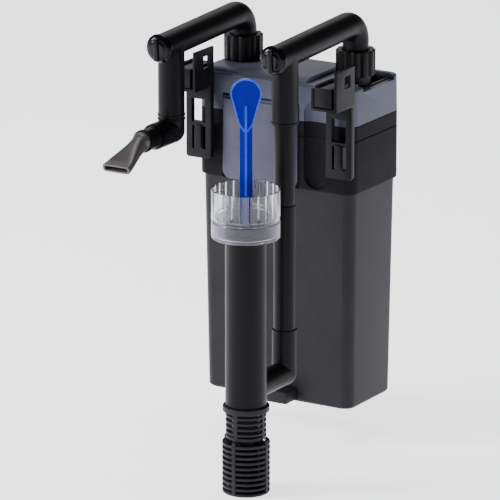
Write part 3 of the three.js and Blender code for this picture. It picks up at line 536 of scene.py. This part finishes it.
latch_bottom = SKIRT_BOTTOM + 0.2
latch_round = 7
outline = [(LATCH_LEFT, PIN_Z)]
outline += arc(LATCH_LEFT + latch_round, latch_bottom + latch_round, latch_round, 180, 270)
outline += arc(LATCH_RIGHT - latch_round, latch_bottom + latch_round, latch_round, 270, 360)
outline += [(LATCH_RIGHT, PIN_Z)]
latch = plate("latch", outline, -1.6, 2, edge=0.7)
join(latch, rod((LATCH_LEFT, PIN_Y, PIN_Z), (LATCH_RIGHT, PIN_Y, PIN_Z), 2.2))
cut(latch, rod((LATCH_LEFT - 1, PIN_Y, PIN_Z), (LATCH_RIGHT + 1, PIN_Y, PIN_Z), 1.15))
stand_for(latch, "front_latch")

# ---- canister and media --------------------------------------------------------------------------------

canister_low_inset = STEP + DRAFT
skirt_round = STEP - 0.05      # rounds the whole step from the skirt down to the canister
foot_low, foot_high = box_mm("spacer_foot")
shell = prism("shell", [
    *edge_levels(canister_low_inset, CANISTER_BOTTOM, 3.0, upward=False, steps=6),
    (STEP, SKIRT_BOTTOM - 0.6), (STEP, SKIRT_BOTTOM),
    *edge_levels(0, SKIRT_BOTTOM, skirt_round, upward=False),
    (0, SEAM - GAP - 0.4), (0.35, SEAM - GAP),
], corner=CORNER)
cut(
    shell,
    prism("skirt_inside", [(WALL - 0.2, SKIRT_BOTTOM), (WALL - 0.2, SEAM + 1)]),
    prism("inside", [(canister_low_inset + 3.1, CANISTER_BOTTOM + 3), (STEP + 3.1, SKIRT_BOTTOM + 2)]),
)
seal_bottom = SEAM - 9 - 2.6
ledge = prism("ledge", [(WALL - 0.5, seal_bottom - 3), (WALL - 0.5, seal_bottom - GAP)])
cut(ledge, prism("ledge_inside", [(TONGUE + 2.4, seal_bottom - 4), (TONGUE + 2.4, seal_bottom + 1)]))
join(shell, ledge, block("foot_boss", foot_low.x - 2.5, foot_high.x + 2.5, 5, 32, CANISTER_BOTTOM + 1,
                         foot_high.z + 3))
cut(
    shell,
    *latch_pocket(),
    finger_recess(),
    block("foot_slot", foot_low.x - GAP, foot_high.x + GAP, -5, 30, foot_low.z - GAP, foot_high.z + GAP),
)
stand_for(shell, "canister")
# the skirt's faces get the darker copy of the black: painted shade
shell.data.materials.append(SKIRT_PAINTED_SHADE)
painted_shade_faces = [f.center.z > SKIRT_BOTTOM * MM for f in shell.data.polygons]
shell.data.polygons.foreach_set("material_index", [int(skirt) for skirt in painted_shade_faces])

foot = block("foot", *[v for pair in zip(foot_low, foot_high) for v in pair], edge=0.5)
for rib in range(4):
    y = -10 + 3 * rib
    cut(foot, block("groove", foot_low.x - 1, foot_low.x + 1.2, y, y + 1.4, foot_low.z - 2, foot_high.z + 2))
stand_for(foot, "spacer_foot")


def soft_block(node, edge, swell, wave, sharpness):
    """Foam or wool cut to a block: crowned faces, rounded edges and a lightly uneven skin."""
    low, high = box_mm(node)
    centre, half = (low + high) / 2, (high - low) / 2
    bm = bmesh.new()
    bmesh.ops.create_cube(bm, size=2)
    bmesh.ops.subdivide_edges(bm, edges=bm.edges[:], cuts=24, use_grid_fill=True)
    for vert in bm.verts:
        unit = vert.co.copy()
        pull = edge * sum(abs(unit[a]) ** 8 * abs(unit[b]) ** 8 for a, b in ((0, 1), (1, 2), (0, 2)))
        crown = swell * sum(1 - abs(c) for c in unit) / 2
        place = Vector([centre[k] + unit[k] * (half[k] - 0.9 - pull - swell + crown) for k in range(3)])
        ripple = noise.noise(place / sharpness) * wave
        vert.co = (place + unit.normalized() * ripple) * MM
    piece = new_object(node, bm)
    stand_for(piece, node, sharp=80)
    return piece


soft_block("coarse_sponge", edge=1.8, swell=0.4, wave=0.5, sharpness=5)
soft_block("fine_wool", edge=3.0, swell=0.8, wave=0.7, sharpness=8)

# short ceramic tubes packed in rows, every other row standing up
ring_radius, ring_bore = 5.4, 2.6
low, high = box_mm("ceramic_media")
columns, rows, layers = 7, 4, 3
cell = Vector(((high.x - low.x) / columns, (high.y - low.y) / rows, (high.z - low.z) / layers))
bm = bmesh.new()
for n in range(columns * rows * layers):
    i, j, k = n % columns, n // columns % rows, n // (columns * rows)
    spot = Vector((low.x + (i + 0.5) * cell.x, low.y + (j + 0.5) * cell.y, low.z + (k + 0.5) * cell.z))
    turn = Matrix.Rotation(math.radians(90), 4, "Y") if (i + j + k) % 2 else Matrix.Identity(4)
    ring = [(ring_bore, -5), (ring_radius, -5), (ring_radius, 5), (ring_bore, 5)]
    media_ring = turned("media_ring", ring, 0, 0, 0.8, 24, Matrix.Translation(spot) @ turn)
    bm.from_mesh(media_ring.data)
    bpy.data.objects.remove(media_ring)
stand_for(new_object("media", bm), "ceramic_media")

# ---- ports, union nuts and pipe arms -------------------------------------------------------------------


def port(node, x):
    bottom = box_mm(node)[0].z
    piece = turned("port", [
        (7.6, bottom), (PIPE_RADIUS, bottom), (PIPE_RADIUS, HEAD_TOP - 5), (PORT_RADIUS - 0.8, HEAD_TOP - 4),
        (PORT_RADIUS, HEAD_TOP + 4), (PORT_RADIUS, PORT_TOP), (7.6, PORT_TOP),
    ], x, PORT_Y)
    stand_for(piece, node)


def union_nut(node, x):
    """Nut with broad finger flutes; its top steps in over the pipe's flange."""
    low, high = box_mm(node)
    bore, top_bore, shelf = PORT_RADIUS + 0.4, PIPE_RADIUS + 0.35, PORT_TOP + 1.9 + 2.7 + GAP
    outer = high.x - x
    flutes, sides = 12, 192
    profile = soften([(bore, low.z), (outer, low.z), (outer, high.z), (top_bore, high.z),
                      (top_bore, shelf), (bore, shelf)], 1.0)
    loops = []
    for r, z in profile:
        loop = []
        for i in range(sides):
            a = 2 * math.pi * i / sides
            valley = (0.5 - 0.5 * math.cos(flutes * a)) ** 2
            depth = 1.3 * valley if r > bore + 0.6 else 0
            loop.append(Vector((x + (r - depth) * math.cos(a), PORT_Y + (r - depth) * math.sin(a), z)))
        loops.append(loop)
    stand_for(loft("nut", loops, ring=True), node)


def arm_axis(level, y):
    """Height of a pipe arm's axis at y, for an arm that is at level over its leg."""
    return level + (y - LEG_Y) * math.tan(ARM_TILT)


def bent_path(x, level, start, front):
    """Up from the port, round the bend and down the arm's slight slope towards the tank."""
    steps = 16
    bend = math.radians(90) + ARM_TILT
    bend_end = PORT_Y - BACK_BEND * (1 - math.cos(bend))
    bend_start = arm_axis(level, bend_end) - BACK_BEND * math.sin(bend)
    path = [(x, PORT_Y, start)]
    for i in range(steps + 1):
        a = bend * i / steps
        path.append((x, PORT_Y - BACK_BEND * (1 - math.cos(a)), bend_start + BACK_BEND * math.sin(a)))
    return [*path, (x, front, arm_axis(level, front))]


def bead(x, y, radius, level, height=1.3, proud=0.5):
    """Moulded ring round an upright pipe."""
    return turned("bead", [(radius - 1, level - height / 2), (radius + proud, level - height / 2),
                           (radius + proud, level + height / 2), (radius - 1, level + height / 2)], x, y, 0.5)


def pipe_arm(node, x, level):
    flange_bottom = PORT_TOP + 1.9
    leg_end = box_mm(node)[0].z
    arm = pipe("arm", bent_path(x, level, flange_bottom, ARM_FRONT), PIPE_RADIUS)
    join(
        arm,
        rod((x, LEG_Y, level), (x, LEG_Y, leg_end), PIPE_RADIUS - 0.02),
        rod((x, PORT_Y, flange_bottom), (x, PORT_Y, flange_bottom + 2.7), PORT_RADIUS - 0.1),
        bead(x, LEG_Y, PIPE_RADIUS, leg_end + 1.6),
    )
    cut(
        arm,
        pipe("bore", bent_path(x, level, flange_bottom - 1, ARM_FRONT - 1), PIPE_BORE),
        rod((x, LEG_Y, level), (x, LEG_Y, leg_end - 1), PIPE_BORE - 0.02),
    )
    stand_for(arm, node)


def arm_cap(node, x, level):
    """Clean-out cap: a domed flange with a fine ring, an upright grip and a plug."""
    arm_end = Matrix.Translation((x, ARM_FRONT, arm_axis(level, ARM_FRONT)))
    on_arm = arm_end @ Matrix.Rotation(ARM_TILT, 4, "X")
    profile = [(0, 5.6), (5.5, 5.2), (7.0, 4.7), (7.2, 4.2), (7.7, 4.1), (8.0, 4.2), (9.4, 3.4), (11, 1.4),
               (11, -0.4), (PIPE_BORE - 0.4, -0.4), (PIPE_BORE - 0.4, -7), (0, -7)]
    cap = turned("cap", profile, 0, 0, 0.5, 96, on_arm @ facing_tank(0, -1.3, 0))
    grip = block("grip", -1.8, 1.8, -8.2, -3, -8.6, 8.6, edge=0.7)
    grip.data.transform(Matrix.Scale(MM, 4) @ on_arm @ Matrix.Scale(1 / MM, 4))
    stand_for(join(cap, grip), node)


for side, x in (("outlet", -PIPE_X), ("inlet", PIPE_X)):
    port(f"{side}_port", x)
    union_nut(f"{side}_union_nut", x)
    pipe_arm(f"{side}_arm", x, ARM_LEVELS[side])
    arm_cap(f"{side}_cap", x, ARM_LEVELS[side])

# ---- outlet --------------------------------------------------------------------------------------------

elbow_top = box_mm("outlet_arm")[0].z - GAP
corner = (-PIPE_X, LEG_Y, OUTLET_LEVEL)
elbow = ball(corner, PIPE_RADIUS)
join(
    elbow,
    rod(corner, (-PIPE_X, LEG_Y, elbow_top), PIPE_RADIUS - 0.02),
    rod(corner, (-PIPE_X, ELBOW_FRONT, OUTLET_LEVEL), PIPE_RADIUS - 0.1),
    rod(corner, (-PIPE_X, ELBOW_FRONT - 6, OUTLET_LEVEL), 6.9),
    rod(corner, (-PIPE_X, LEG_Y, elbow_top + 10), PIPE_BORE - GAP),
    bead(-PIPE_X, LEG_Y, PIPE_RADIUS, elbow_top - 1.3),
)
cut(
    elbow,
    ball(corner, 6.4),
    rod(corner, (-PIPE_X, LEG_Y, 20), 6.38),
    rod(corner, (-PIPE_X, -120, OUTLET_LEVEL), 5.6),
)
stand_for(elbow, "outlet_elbow")

collar_length = ELBOW_FRONT - GAP - (BALL_Y + 1)
collar = turned("collar", [
    (0, 0), (8.7, 0), (8.7, 3.2), (8.3, 3.6), (8.3, collar_length - 2.2), (8.7, collar_length - 1.8),
    (8.7, collar_length), (0, collar_length),
], 0, 0, 0.4, ROUND, facing_tank(-PIPE_X, ELBOW_FRONT - GAP, OUTLET_LEVEL))
cut(
    collar,
    rod((-PIPE_X, -80, OUTLET_LEVEL), (-PIPE_X, ELBOW_FRONT - 6.5, OUTLET_LEVEL), 7.2),
    rod((-PIPE_X, -80, OUTLET_LEVEL), (-PIPE_X, -112, OUTLET_LEVEL), 5.6),
    ball((-PIPE_X, BALL_Y, OUTLET_LEVEL), BALL_RADIUS + 1.5 * GAP),
)
stand_for(collar, "nozzle_collar")


def duckbill(name, root, mouth_width, mouth_height, start, end):
    """Round tube whose section flattens and widens towards its mouth."""
    steps, sides = 28, 72
    tilt = Matrix.Translation((-PIPE_X, BALL_Y, OUTLET_LEVEL)) @ Matrix.Rotation(NOZZLE_PITCH, 4, "X")
    loops = []
    for i in range(steps + 1):
        along = start + (end - start) * i / steps
        t = min(max((along - 6) / (NOZZLE_LENGTH - 6), 0), 1)
        half_width = root + (mouth_width / 2 - root) * t * t * (3 - 2 * t)
        half_height = root + (mouth_height / 2 - root) * min(t * 1.25, 1)
        square = 1 - 0.65 * t
        loop = []
        for k in range(sides):
            a = 2 * math.pi * k / sides
            x = math.copysign(abs(math.cos(a)) ** square, math.cos(a)) * half_width
            z = math.copysign(abs(math.sin(a)) ** square, math.sin(a)) * half_height
            loop.append(tilt @ Vector((x, -along, z)))
        loops.append(loop)
    return loft(name, loops)


nozzle = duckbill("nozzle", 6.6, 23, 6.6, 0, NOZZLE_LENGTH)
join(nozzle, ball((-PIPE_X, BALL_Y, OUTLET_LEVEL), BALL_RADIUS))
cut(nozzle, duckbill("nozzle_bore", 5, 20, 3.8, -9, NOZZLE_LENGTH + 1))
stand_for(nozzle, "duckbill_nozzle", NOZZLE_FINISH)

# ---- inlet drop, skimmer and strainer ------------------------------------------------------------------

pipe_low, pipe_high = box_mm("inlet_pipe")
lower_top = box_mm("inlet_lower_pipe")[1].z
stand_for(turned("inlet_pipe", [
    (5.6, pipe_low.z), (6.5, pipe_low.z), (6.5, lower_top + GAP), (8, lower_top + GAP), (8, pipe_high.z),
    (6.5, pipe_high.z), (6.5, lower_top + 3), (5.6, lower_top + 2),
], PIPE_X, LEG_Y, 0.35), "inlet_pipe")

lower_bottom = box_mm("inlet_lower_pipe")[0].z
stand_for(turned("lower_pipe", [
    (6.8, lower_bottom), (8.3, lower_bottom), (8.3, lower_top), (6.8, lower_top),
], PIPE_X, LEG_Y, 0.4), "inlet_lower_pipe")

socket_top = box_mm("inlet_elbow")[1].z
corner = (PIPE_X, LEG_Y, BOTTOM_LEVEL)
elbow = ball(corner, 9.4)
join(
    elbow,
    rod(corner, (PIPE_X, LEG_Y, socket_top), 9.38),
    rod(corner, (PIPE_X, TOWER_Y, BOTTOM_LEVEL), 9.2),
)
cut(
    elbow,
    ball(corner, 6.8),
    rod((PIPE_X, LEG_Y, socket_top - 9.5), (PIPE_X, LEG_Y, -100), 8.6),
    rod(corner, (PIPE_X, LEG_Y, -100), 6.78),
    rod(corner, (PIPE_X, TOWER_Y, BOTTOM_LEVEL), 6.76),
    rod((TOWER_X, TOWER_Y, -230), (TOWER_X, TOWER_Y, -150), TOWER_RADIUS + GAP, sides=96),
)
stand_for(elbow, "inlet_elbow")

tower_top = box_mm("skimmer_tower")[1].z
tower = turned("tower", [
    (TOWER_BORE, TOWER_BOTTOM), (TOWER_RADIUS, TOWER_BOTTOM), (TOWER_RADIUS, CUP_BOTTOM - 3),
    (17, CUP_BOTTOM - 1.6), (17, CUP_BOTTOM - GAP), (TOWER_RADIUS, CUP_BOTTOM - GAP),
    (TOWER_RADIUS, tower_top), (TOWER_BORE, tower_top),
], TOWER_X, TOWER_Y, 0.3, 96)
cut(tower, rod((TOWER_X, TOWER_Y, BOTTOM_LEVEL), (PIPE_X, LEG_Y, BOTTOM_LEVEL), 6.4))
stand_for(tower, "skimmer_tower")

cup = turned("cup", [
    (TOWER_RADIUS + GAP, CUP_BOTTOM), (CUP_RADIUS, CUP_BOTTOM), (CUP_RADIUS, CUP_TOP),
    (CUP_RADIUS - 1.9, CUP_TOP), (CUP_RADIUS - 1.9, CUP_BOTTOM + 2.2), (TOWER_RADIUS + GAP, CUP_BOTTOM + 2.2),
], TOWER_X, TOWER_Y, 1.6, 120)
stand_for(cup, "skimmer_cup")

comb_base = CUP_TOP + GAP
comb = turned("comb", [
    (CUP_RADIUS - 3.7, CUP_TOP - 7), (CUP_RADIUS - 2.4, CUP_TOP - 7), (CUP_RADIUS - 2.4, comb_base),
    (CUP_RADIUS, comb_base), (CUP_RADIUS, COMB_TOP), (CUP_RADIUS - 1.4, COMB_TOP),
    (CUP_RADIUS - 1.4, comb_base + 2.4), (CUP_RADIUS - 3.7, comb_base + 2.4),
], TOWER_X, TOWER_Y, 0.35, 120)
slots = []
for i in range(COMB_PANELS // 2):
    slot = block("slot", -CUP_RADIUS - 2, CUP_RADIUS + 2, -0.45, 0.45, comb_base + 3.4, COMB_TOP + 3.4)
    turn = Matrix.Rotation((i + 0.5) * 2 * math.pi / COMB_PANELS, 4, "Z")
    slot.data.transform(Matrix.Translation((TOWER_X * MM, TOWER_Y * MM, 0)) @ turn)
    slots.append(slot)
cut(comb, *slots)
stand_for(comb, "skimmer_comb")


STEM_HALF, PADDLE_NECK, PADDLE_CENTRE = 4.7, 6, 29.2


def paddle_outline(inset):
    """Teardrop paddle, seen from the front, smaller all round by inset."""
    neck, radius, flare = STEM_HALF - inset, 11.4 - inset, math.radians(29)
    shoulder = (radius * math.cos(flare), PADDLE_CENTRE - radius * math.sin(flare))
    foot_of_paddle = (neck, PADDLE_NECK - inset)
    side = [foot_of_paddle, *bezier(foot_of_paddle, (6.6 - inset, 11), shoulder, 14)]
    return side + arc(0, PADDLE_CENTRE, radius, -29, 209, 40)[1:-1] + [(-x, z) for x, z in reversed(side)]


stem_bottom = CUP_BOTTOM - 2
# the paddle's rim runs down into a raised V on the stem
vee = [(-STEM_HALF, 7.4), (-STEM_HALF, 5.4), (0, -1.0), (STEM_HALF, 5.4), (STEM_HALF, 7.4), (0, 1.0)]
handle = plate("handle", paddle_outline(0), -1.3, 1.3, edge=0.3)
cut(
    handle,
    plate("front_field", paddle_outline(1.1), -2, -0.95),
    plate("back_field", paddle_outline(1.1), 0.95, 2),
)
join(
    handle,
    block("stem", -STEM_HALF, STEM_HALF, -1, 1, stem_bottom, PADDLE_NECK + 2, edge=0.3),
    plate("vee", vee, -1.3, 1.3),
    block("stem_rib", -0.8, 0.8, -2.6, 2.6, stem_bottom, 21, edge=0.3),
    block("foot_wide", -12.4, 12.4, -1.2, 1.2, stem_bottom - 2, stem_bottom + 1, edge=0.3),
    block("foot_deep", -1.2, 1.2, -12.4, 12.4, stem_bottom - 2, stem_bottom + 1, edge=0.3),
)
rim_depth = 1.15 * MM      # the rim, V and rib stand further out than this; the faces between them don't
# faces on the rim, V, rib and thin edges get the lighter blue: a painted highlight
painted_highlight_faces = [abs(f.normal.y) < 0.6 or abs(f.center.y) > rim_depth for f in handle.data.polygons]
turn = Matrix.Translation((TOWER_X * MM, TOWER_Y * MM, 0)) @ Matrix.Rotation(HANDLE_TURN, 4, "Z")
handle.data.transform(turn)
stand_for(handle, "skimmer_handle")
handle.data.materials.append(BLUE_PAINTED_HIGHLIGHT)
handle.data.polygons.foreach_set("material_index", [int(edge) for edge in painted_highlight_faces])


def tube(outer, inner, z0, z1, edge=0.0):
    """Upright ring or tube on the tower's axis."""
    return turned("tube", [(inner, z0), (outer, z0), (outer, z1), (inner, z1)], TOWER_X, TOWER_Y, edge, 96)


def hoop(outer, inner, level, height):
    return tube(outer, inner, level, level + height, edge=0.4)


def ribs(outer, inner, z0, z1, width):
    """Four upright bars, on the tank's left, right, front and back."""
    bars = []
    for i in range(4):
        bar = block("rib", inner, outer, -width / 2, width / 2, z0, z1, edge=0.3)
        spin = Matrix.Rotation(math.radians(90 * i), 4, "Z")
        bar.data.transform(Matrix.Translation((TOWER_X * MM, TOWER_Y * MM, 0)) @ spin)
        bars.append(bar)
    return bars


lip_bottom = TOWER_BOTTOM - 4.7
cage = turned("cage", [
    (11.4, lip_bottom), (17.4, lip_bottom), (17.4, TOWER_BOTTOM - GAP),
    (TOWER_BORE - GAP, TOWER_BOTTOM - GAP), (TOWER_BORE - GAP, TOWER_BOTTOM + 6), (11.4, TOWER_BOTTOM + 6),
], TOWER_X, TOWER_Y, 0.6, 96)
suction = 10.4
cage_pitch = 4.2
rings = [hoop(CAGE_RADIUS, CAGE_RADIUS - 2, lip_bottom - cage_pitch * (i + 1), 2) for i in range(4)]
rings += [hoop(14.2, 12.4, SLEEVE_BOTTOM + 7 + 4.1 * i, 2) for i in range(8)]
join(
    cage,
    *ribs(CAGE_RADIUS - 0.02, CAGE_RADIUS - 2.4, SLEEVE_TOP + GAP, lip_bottom + 1, 2.6),
    *ribs(14.18, 12.42, SLEEVE_BOTTOM + 4, SLEEVE_TOP + 4, 2.6),
    hoop(CAGE_RADIUS, 12.4, SLEEVE_TOP + GAP, 2.4),
    rod((TOWER_X, TOWER_Y, SLEEVE_BOTTOM + 3.5), (TOWER_X, TOWER_Y, SLEEVE_BOTTOM + 5.5), 14.2, sides=96),
    *rings,
    tube(suction, suction - 1.6, SLEEVE_BOTTOM + 4.5, lip_bottom + 1.5),
    tube(12, suction - 1.6, lip_bottom, lip_bottom + 1.5),
)
windows = []
for angle in (45, 135):
    window = block("window", -suction - 1, suction + 1, -4, 4, SLEEVE_BOTTOM + 6, SLEEVE_BOTTOM + 15)
    spin = Matrix.Rotation(math.radians(angle), 4, "Z")
    window.data.transform(Matrix.Translation((TOWER_X * MM, TOWER_Y * MM, 0)) @ spin)
    windows.append(window)
stand_for(cut(cage, *windows), "strainer_cage")

sleeve_pitch = 4.1
sleeve = turned("sleeve", [
    (0, SLEEVE_BOTTOM), (SLEEVE_RADIUS - 0.2, SLEEVE_BOTTOM), (SLEEVE_RADIUS, SLEEVE_BOTTOM + 2.4),
    (0, SLEEVE_BOTTOM + 2.4),
], TOWER_X, TOWER_Y, 0.8, 96)
join(
    sleeve,
    *ribs(SLEEVE_RADIUS + 0.3, SLEEVE_RADIUS - 2.2, SLEEVE_BOTTOM + 1, SLEEVE_TOP - GAP, 3),
    *[hoop(SLEEVE_RADIUS, SLEEVE_RADIUS - 2.18, SLEEVE_BOTTOM + 4.4 + sleeve_pitch * i, 2) for i in range(9)],
)
stand_for(sleeve, "strainer_sleeve")

# ---- toothed arms and hangers --------------------------------------------------------------------------


def hanger_arm(node, x):
    bar = block("bar", x - 8.4, x + 6.4, BOX_FRONT + GAP, -GAP, SEAT_STEP, RACK_TOP - 2, edge=0.4)
    seat = block("seat", x - 8.4, x + 6.4, HANGER_BACK + GAP, -GAP, 0, SEAT_STEP + 1)
    rack = [(BOX_FRONT + 1, RACK_TOP - 2.5)]
    pitch = 2.6
    for i in range(10):
        y = BOX_FRONT + 1 + pitch * i
        rack += [(y, RACK_TOP - 2), (y + 1.6, RACK_TOP), (y + 2.3, RACK_TOP - 2)]
    rack += [(rack[-1][0], RACK_TOP - 2.5)]
    teeth = loft("teeth", [[Vector((u, y, z)) for y, z in rack] for u in (x - 8.3, x - 5.4)])
    join(bar, seat, teeth, block("tenon", x - 7, x + 4, -1, 11, 1, 5.3))
    stand_for(bar, node)


def hanger(node, x):
    """Channel on the arm with a plate that hangs inside the tank: a window, a sprung tongue and two slots."""
    w = HANGER_HALF
    front = HANGER_BACK - PLATE
    window_top, window_bottom, tongue_end = -13, -31, -52
    chamfer = 1.5
    outline = [
        (x - w + chamfer, HANGER_BOTTOM), (x + w - chamfer, HANGER_BOTTOM),
        (x + w, HANGER_BOTTOM + chamfer), (x + w, BOX_FLOOR),
        (x - w, BOX_FLOOR), (x - w, HANGER_BOTTOM + chamfer),
    ]
    piece = plate("hanger", outline, front, HANGER_BACK, edge=0.35)
    join(
        piece,
        block("floor", x - w, x + w, BOX_FRONT, HANGER_BACK, BOX_FLOOR, -GAP, edge=0.3),
        block("low_wall", x - w, x - w + 2.2, BOX_FRONT, HANGER_BACK, BOX_FLOOR, RACK_TOP - 2.6, edge=0.35),
        block("high_wall", x + w - 2.2, x + w, BOX_FRONT, HANGER_BACK, BOX_FLOOR, SIDE_WALL_TOP, edge=0.35),
        block("tongue", x - 3, x + 3, front - 1.4, front + 1, tongue_end + 1, window_bottom - 2, edge=0.4),
    )
    cut(
        piece,
        block("window", x - 6.2, x + 6.2, front - 3, HANGER_BACK + 1, window_bottom, window_top),
        block("slot_left", x - 5.6, x - 3.6, front - 3, HANGER_BACK + 1, tongue_end, window_bottom - 3),
        block("slot_right", x + 3.6, x + 6.2, front - 3, HANGER_BACK + 1, tongue_end, window_bottom - 3),
        block("wall_hole", x + w - 4, x + w + 1, -20, -11.3, 13.6, 23),
    )
    stand_for(piece, node)


for side, x in (("left", -HANGER_X), ("right", HANGER_X)):
    hanger_arm(f"hanger_arm_{side}", x)
    hanger(f"hanger_{side}", x)

# ---- floor, light and camera ---------------------------------------------------------------------------

DAYLIGHT = (0.95, 0.97, 1.0, 1)

bm = bmesh.new()
bmesh.ops.create_grid(bm, x_segments=1, y_segments=1, size=20)
floor = new_object("floor", bm)
floor.location.z = (SLEEVE_BOTTOM - 0.5) * MM
floor_paint = material("floor_paint", (0.86, 0.87, 0.885), 0.95, grain=0.0, mottle=0.004, specular=0.0)
floor_shader = floor_paint.node_tree.nodes["Principled BSDF"]
floor_shader.inputs["Emission Color"].default_value = DAYLIGHT
floor_shader.inputs["Emission Strength"].default_value = 1.9
paint(floor, floor_paint)

world = bpy.data.worlds.new("studio")
bpy.context.scene.world = world
world.use_nodes = True
world.node_tree.nodes["Background"].inputs["Color"].default_value = DAYLIGHT
world.node_tree.nodes["Background"].inputs["Strength"].default_value = 0.1


def softbox(name, direction, distance, size, power):
    """Square area light that faces the object."""
    light = bpy.data.lights.new(name, "AREA")
    light.size, light.energy = size, power
    lamp = bpy.data.objects.new(name, light)
    bpy.context.scene.collection.objects.link(lamp)
    centre = (cad_box[0] + cad_box[1]) / 2
    lamp.location = centre + Vector(direction).normalized() * distance
    lamp.rotation_euler = (centre - lamp.location).to_track_quat("-Z", "Y").to_euler()


softbox("key", (-1.1, -0.9, 0.6), 1.7, 0.6, 46)
softbox("side", (1.7, 0.45, 0.2), 1.6, 0.4, 6)
softbox("top", (-0.1, 0.3, 1.6), 1.6, 0.8, 12)
softbox("rim", (-0.6, 0.95, 0.75), 1.7, 1.0, 5)

AZIMUTH, ELEVATION = math.radians(31.2), math.radians(15.83)
AIM = Vector((-11.6, -16.6, -123.2)) * MM
DISTANCE = 3.763
camera = bpy.data.objects.new("camera", bpy.data.cameras.new("camera"))
bpy.context.scene.collection.objects.link(camera)
bpy.context.scene.camera = camera
camera.data.sensor_width = 36
camera.data.lens = 357.6
camera.data.clip_end = 50
back = Vector((
    math.sin(AZIMUTH) * math.cos(ELEVATION),
    -math.cos(AZIMUTH) * math.cos(ELEVATION),
    math.sin(ELEVATION),
))
camera.location = AIM + back * DISTANCE
camera.rotation_euler = (-back).to_track_quat("-Z", "Y").to_euler()
